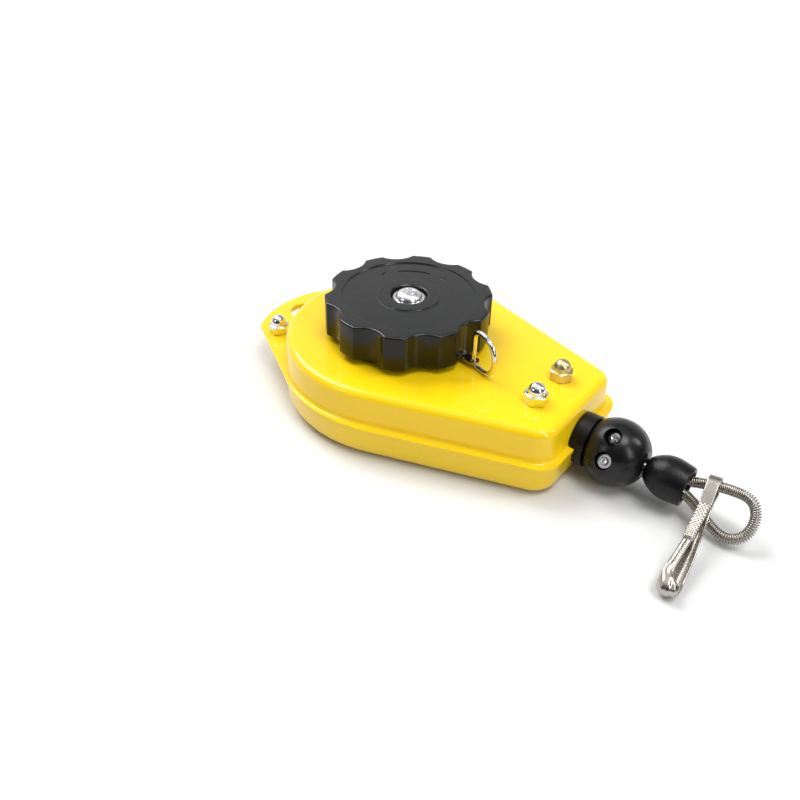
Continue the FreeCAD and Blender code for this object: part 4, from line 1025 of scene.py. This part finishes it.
# edges across the hook in millimetres, the far side negative
FAR_EDGE = [(4.6, -1.47), (9.5, -1.60), (14.1, -1.95), (18.8, -2.15), (23.3, -2.45), (27.7, -2.85), (32.2, -3.0), (36.5, -3.15), (40.9, -3.2), (45.3, -3.1), (50.3, -3.0)]
NEAR_EDGE = [(9.5, 3.1), (24.0, 3.0), (29.0, 3.05), (34.0, 3.5), (38.7, 4.0), (41.1, 4.4), (43.4, 4.7), (47.0, 4.6), (50.3, 4.4)]
LIP_EDGE = [(26.6, -0.45), (31.7, 0.07), (36.3, 0.43), (40.9, 0.75), (43.3, 0.55), (44.8, -0.3), (46.2, -1.8), (47.6, -3.05)]
GROOVE = [(41.0, 0.6), (44.9, 0.1), (48.7, -0.75), (50.3, -0.85)]


def back_section(i, n, x, y):
    if i < n_eye:  # front strip, eye and the start of the back strip
        return strip_outline(4.67, lambda v: 0.0, lambda v: 0.0, 0.87)
    lip = y > 0 and x < 49.9
    far = along(LIP_EDGE if lip else FAR_EDGE, x)
    near = along(NEAR_EDGE, x)
    width, centre = near - far, (near + far) / 2
    nose = smoothstep(42.5, 48.0, x)
    groove = along(GROOVE, x) - centre
    slot = 0.62 * smoothstep(44.8, 47.6, x)
    if not lip:
        wall = 1.15 * smoothstep(13.0, 25.0, x) * (1.0 - nose)

        def shape(v):
            u = v / (width / 2)
            rise = wall * smoothstep(-0.1, 1.0, -u) ** 1.6 + 0.40 * wall * smoothstep(0.45, 1.0, u) ** 1.5
            rise += 1.7 * nose * smoothstep(0.30, 1.05, abs(u)) ** 1.7
            return rise + bump_at(v, groove, 0.62, slot)

        return strip_outline(width, shape, shape, centre)
    # the lip: ridged, keeps to the near side, hollow between its ridges
    tip = smoothstep(26.6, 28.4, x)
    width *= 0.82 + 0.18 * tip
    ribs = (1.0 - smoothstep(40.0, 45.5, x)) * tip

    def shape(v):
        u = v / width + 0.5
        ridge = -bump_at(u, 0.34, 0.11, 0.50 * ribs) - bump_at(u, 0.76, 0.17, 0.42 * ribs)
        side = 0.95 * (1.0 - nose) * smoothstep(0.82, 1.0, u) ** 1.3 + 0.35 * (1.0 - nose) * smoothstep(0.14, 0.0, u)
        side += 1.7 * nose * smoothstep(0.30, 1.05, abs(2 * u - 1)) ** 1.7
        return ridge + side + bump_at(v, groove, 0.62, slot)

    return strip_outline(width, shape, shape, centre)


hook = strip_loft("hook_strip", back_line, back_section, M_NICKEL, "hook")
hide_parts("hook_body")

TONGUE_Y = [(9.8, 0.62), (13.5, 0.9), (18.0, 1.15), (21.5, 1.2), (25.0, 1.0), (28.5, 0.8), (33.0, 0.7)]
TONGUE_FAR = [(9.8, -1.35), (12.0, -1.12), (16.7, -1.05), (21.5, -0.78), (26.2, -0.62), (28.2, 0.3), (33.0, 0.6)]
TONGUE_NEAR = [(9.8, 3.15), (14.0, 3.1), (18.6, 3.25), (24.0, 3.3), (26.2, 3.2), (28.2, 2.7), (33.0, 2.6)]
tongue_line = [(x, along(TONGUE_Y, x)) for x in (9.8 + 0.145 * k for k in range(161))]


def tongue_section(i, n, x, y):
    far, near = along(TONGUE_FAR, x), along(TONGUE_NEAR, x)
    return strip_outline(near - far, lambda v: knurl(x, v), lambda v: 0.0, (near + far) / 2)


tongue = strip_loft("hook_latch", tongue_line, tongue_section, M_NICKEL, "hook_gate")
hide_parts("hook_tongue")

# ------------------------------------------------------------------ free rope between drum and crimp; built in place here and attached to no body, so it does not pay out with the cable end
run = [(36.4, -27.6, 17.2), (53.0, -14.4, 15.6), (66.5, -3.0, 14.4), (78.0, -0.7, 13.85), (84.0, 0.0, 13.7), (107.0, 0.0, 13.7), (112.75, 0.0, 13.0), (117.4, 0.0, 12.64)]
run_pts = catmull([Vector(p) * MM for p in run], 24)
rope_run = tube("rope_run", run_pts, 1.25 * MM, M_ROPE, sides=16, closed=False)
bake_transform(rope_run)
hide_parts("cable_run")

# ------------------------------------------------------------------ floor, light, world
bm = bmesh.new()
bmesh.ops.create_grid(bm, x_segments=1, y_segments=1, size=3.0)
me = bpy.data.meshes.new("floor")
bm.to_mesh(me)
bm.free()
floor_m, nt, b = new_material("floor_pale")
nt.links.new(ramp(nt, noise(nt, 3.0, 2.0), [(0.3, grey(0.70)), (0.7, grey(0.71))]), b.inputs["Base Color"])
b.inputs["Roughness"].default_value = 0.85
b.inputs["Specular IOR Level"].default_value = 0.2
floor = link("floor", me, floor_m)
floor.location = (0, 0, -0.0002)

world = bpy.data.worlds.new("studio")
bpy.context.scene.world = world
world.use_nodes = True
wn = world.node_tree
tc = wn.nodes.new("ShaderNodeTexCoord")


def world_map(vec_out, a, b, lo, hi):
    m = wn.nodes.new("ShaderNodeMapRange")
    m.interpolation_type = "SMOOTHSTEP"
    m.inputs["From Min"].default_value, m.inputs["From Max"].default_value = a, b
    m.inputs["To Min"].default_value, m.inputs["To Max"].default_value = lo, hi
    wn.links.new(vec_out, m.inputs["Value"])
    return m.outputs[0]


back = wn.nodes.new("ShaderNodeVectorMath")
back.operation = "DOT_PRODUCT"
back.inputs[1].default_value = (-0.70, 0.71, 0.0)
wn.links.new(tc.outputs["Generated"], back.inputs[0])
sep = wn.nodes.new("ShaderNodeSeparateXYZ")
wn.links.new(tc.outputs["Generated"], sep.inputs[0])
low = world_map(back.outputs["Value"], -0.25, 0.75, 0.06, 0.75)
rise = world_map(sep.outputs["Z"], 0.50, 0.64, 0.0, 1.0)
mixer = wn.nodes.new("ShaderNodeMix")
mixer.data_type = "FLOAT"
wn.links.new(rise, mixer.inputs[0])
wn.links.new(low, mixer.inputs[2])
mixer.inputs[3].default_value = 0.12
cap = world_map(sep.outputs["Z"], 0.70, 0.88, 0.0, 1.0)
upper = wn.nodes.new("ShaderNodeMix")
upper.data_type = "FLOAT"
wn.links.new(cap, upper.inputs[0])
wn.links.new(mixer.outputs[0], upper.inputs[2])
upper.inputs[3].default_value = 0.80
wn.nodes["Background"].inputs[0].default_value = (1.0, 1.0, 1.0, 1.0)
seen = wn.nodes.new("ShaderNodeLightPath")
sky = wn.nodes.new("ShaderNodeMix")
sky.data_type = "FLOAT"
wn.links.new(seen.outputs["Is Camera Ray"], sky.inputs[0])
wn.links.new(upper.outputs[0], sky.inputs[2])
sky.inputs[3].default_value = 0.98
wn.links.new(sky.outputs[0], wn.nodes["Background"].inputs[1])


def area(name, at, to, size, power, colour=(1, 1, 1), size_y=None):
    l = bpy.data.lights.new(name, "AREA")
    l.energy = power
    l.color = colour
    l.shape = "RECTANGLE" if size_y else "SQUARE"
    l.size = size
    if size_y:
        l.size_y = size_y
    o = bpy.data.objects.new(name, l)
    bpy.context.scene.collection.objects.link(o)
    o.location = at
    o.rotation_mode = "QUATERNION"
    o.rotation_quaternion = (Vector(to) - Vector(at)).to_track_quat("-Z", "Y")
    return o


def sun(name, towards, strength, spread):
    l = bpy.data.lights.new(name, "SUN")
    l.energy = strength
    l.angle = math.radians(spread)
    o = bpy.data.objects.new(name, l)
    bpy.context.scene.collection.objects.link(o)
    o.rotation_mode = "QUATERNION"
    o.rotation_quaternion = Vector(towards).to_track_quat("Z", "Y")
    return o


sun("key", (-1.35, 0.20, 1.60), 2.30, 36.0)
sun("top", (0.45, -0.05, 1.45), 1.22, 26.0)
area("side", (0.85, -0.25, 0.50), (0.05, 0, 0.02), 0.16, 2.0, size_y=0.50)
area("rim", (0.78, 0.50, 0.66), (0.10, 0, 0.02), 0.14, 2.2, size_y=0.40)
area("front", (-0.33, -0.70, 0.47), (0.06, 0, 0.02), 0.20, 0.55)
bpy.context.scene.view_settings.view_transform = "Standard"
bpy.context.scene.view_settings.exposure = 0.0
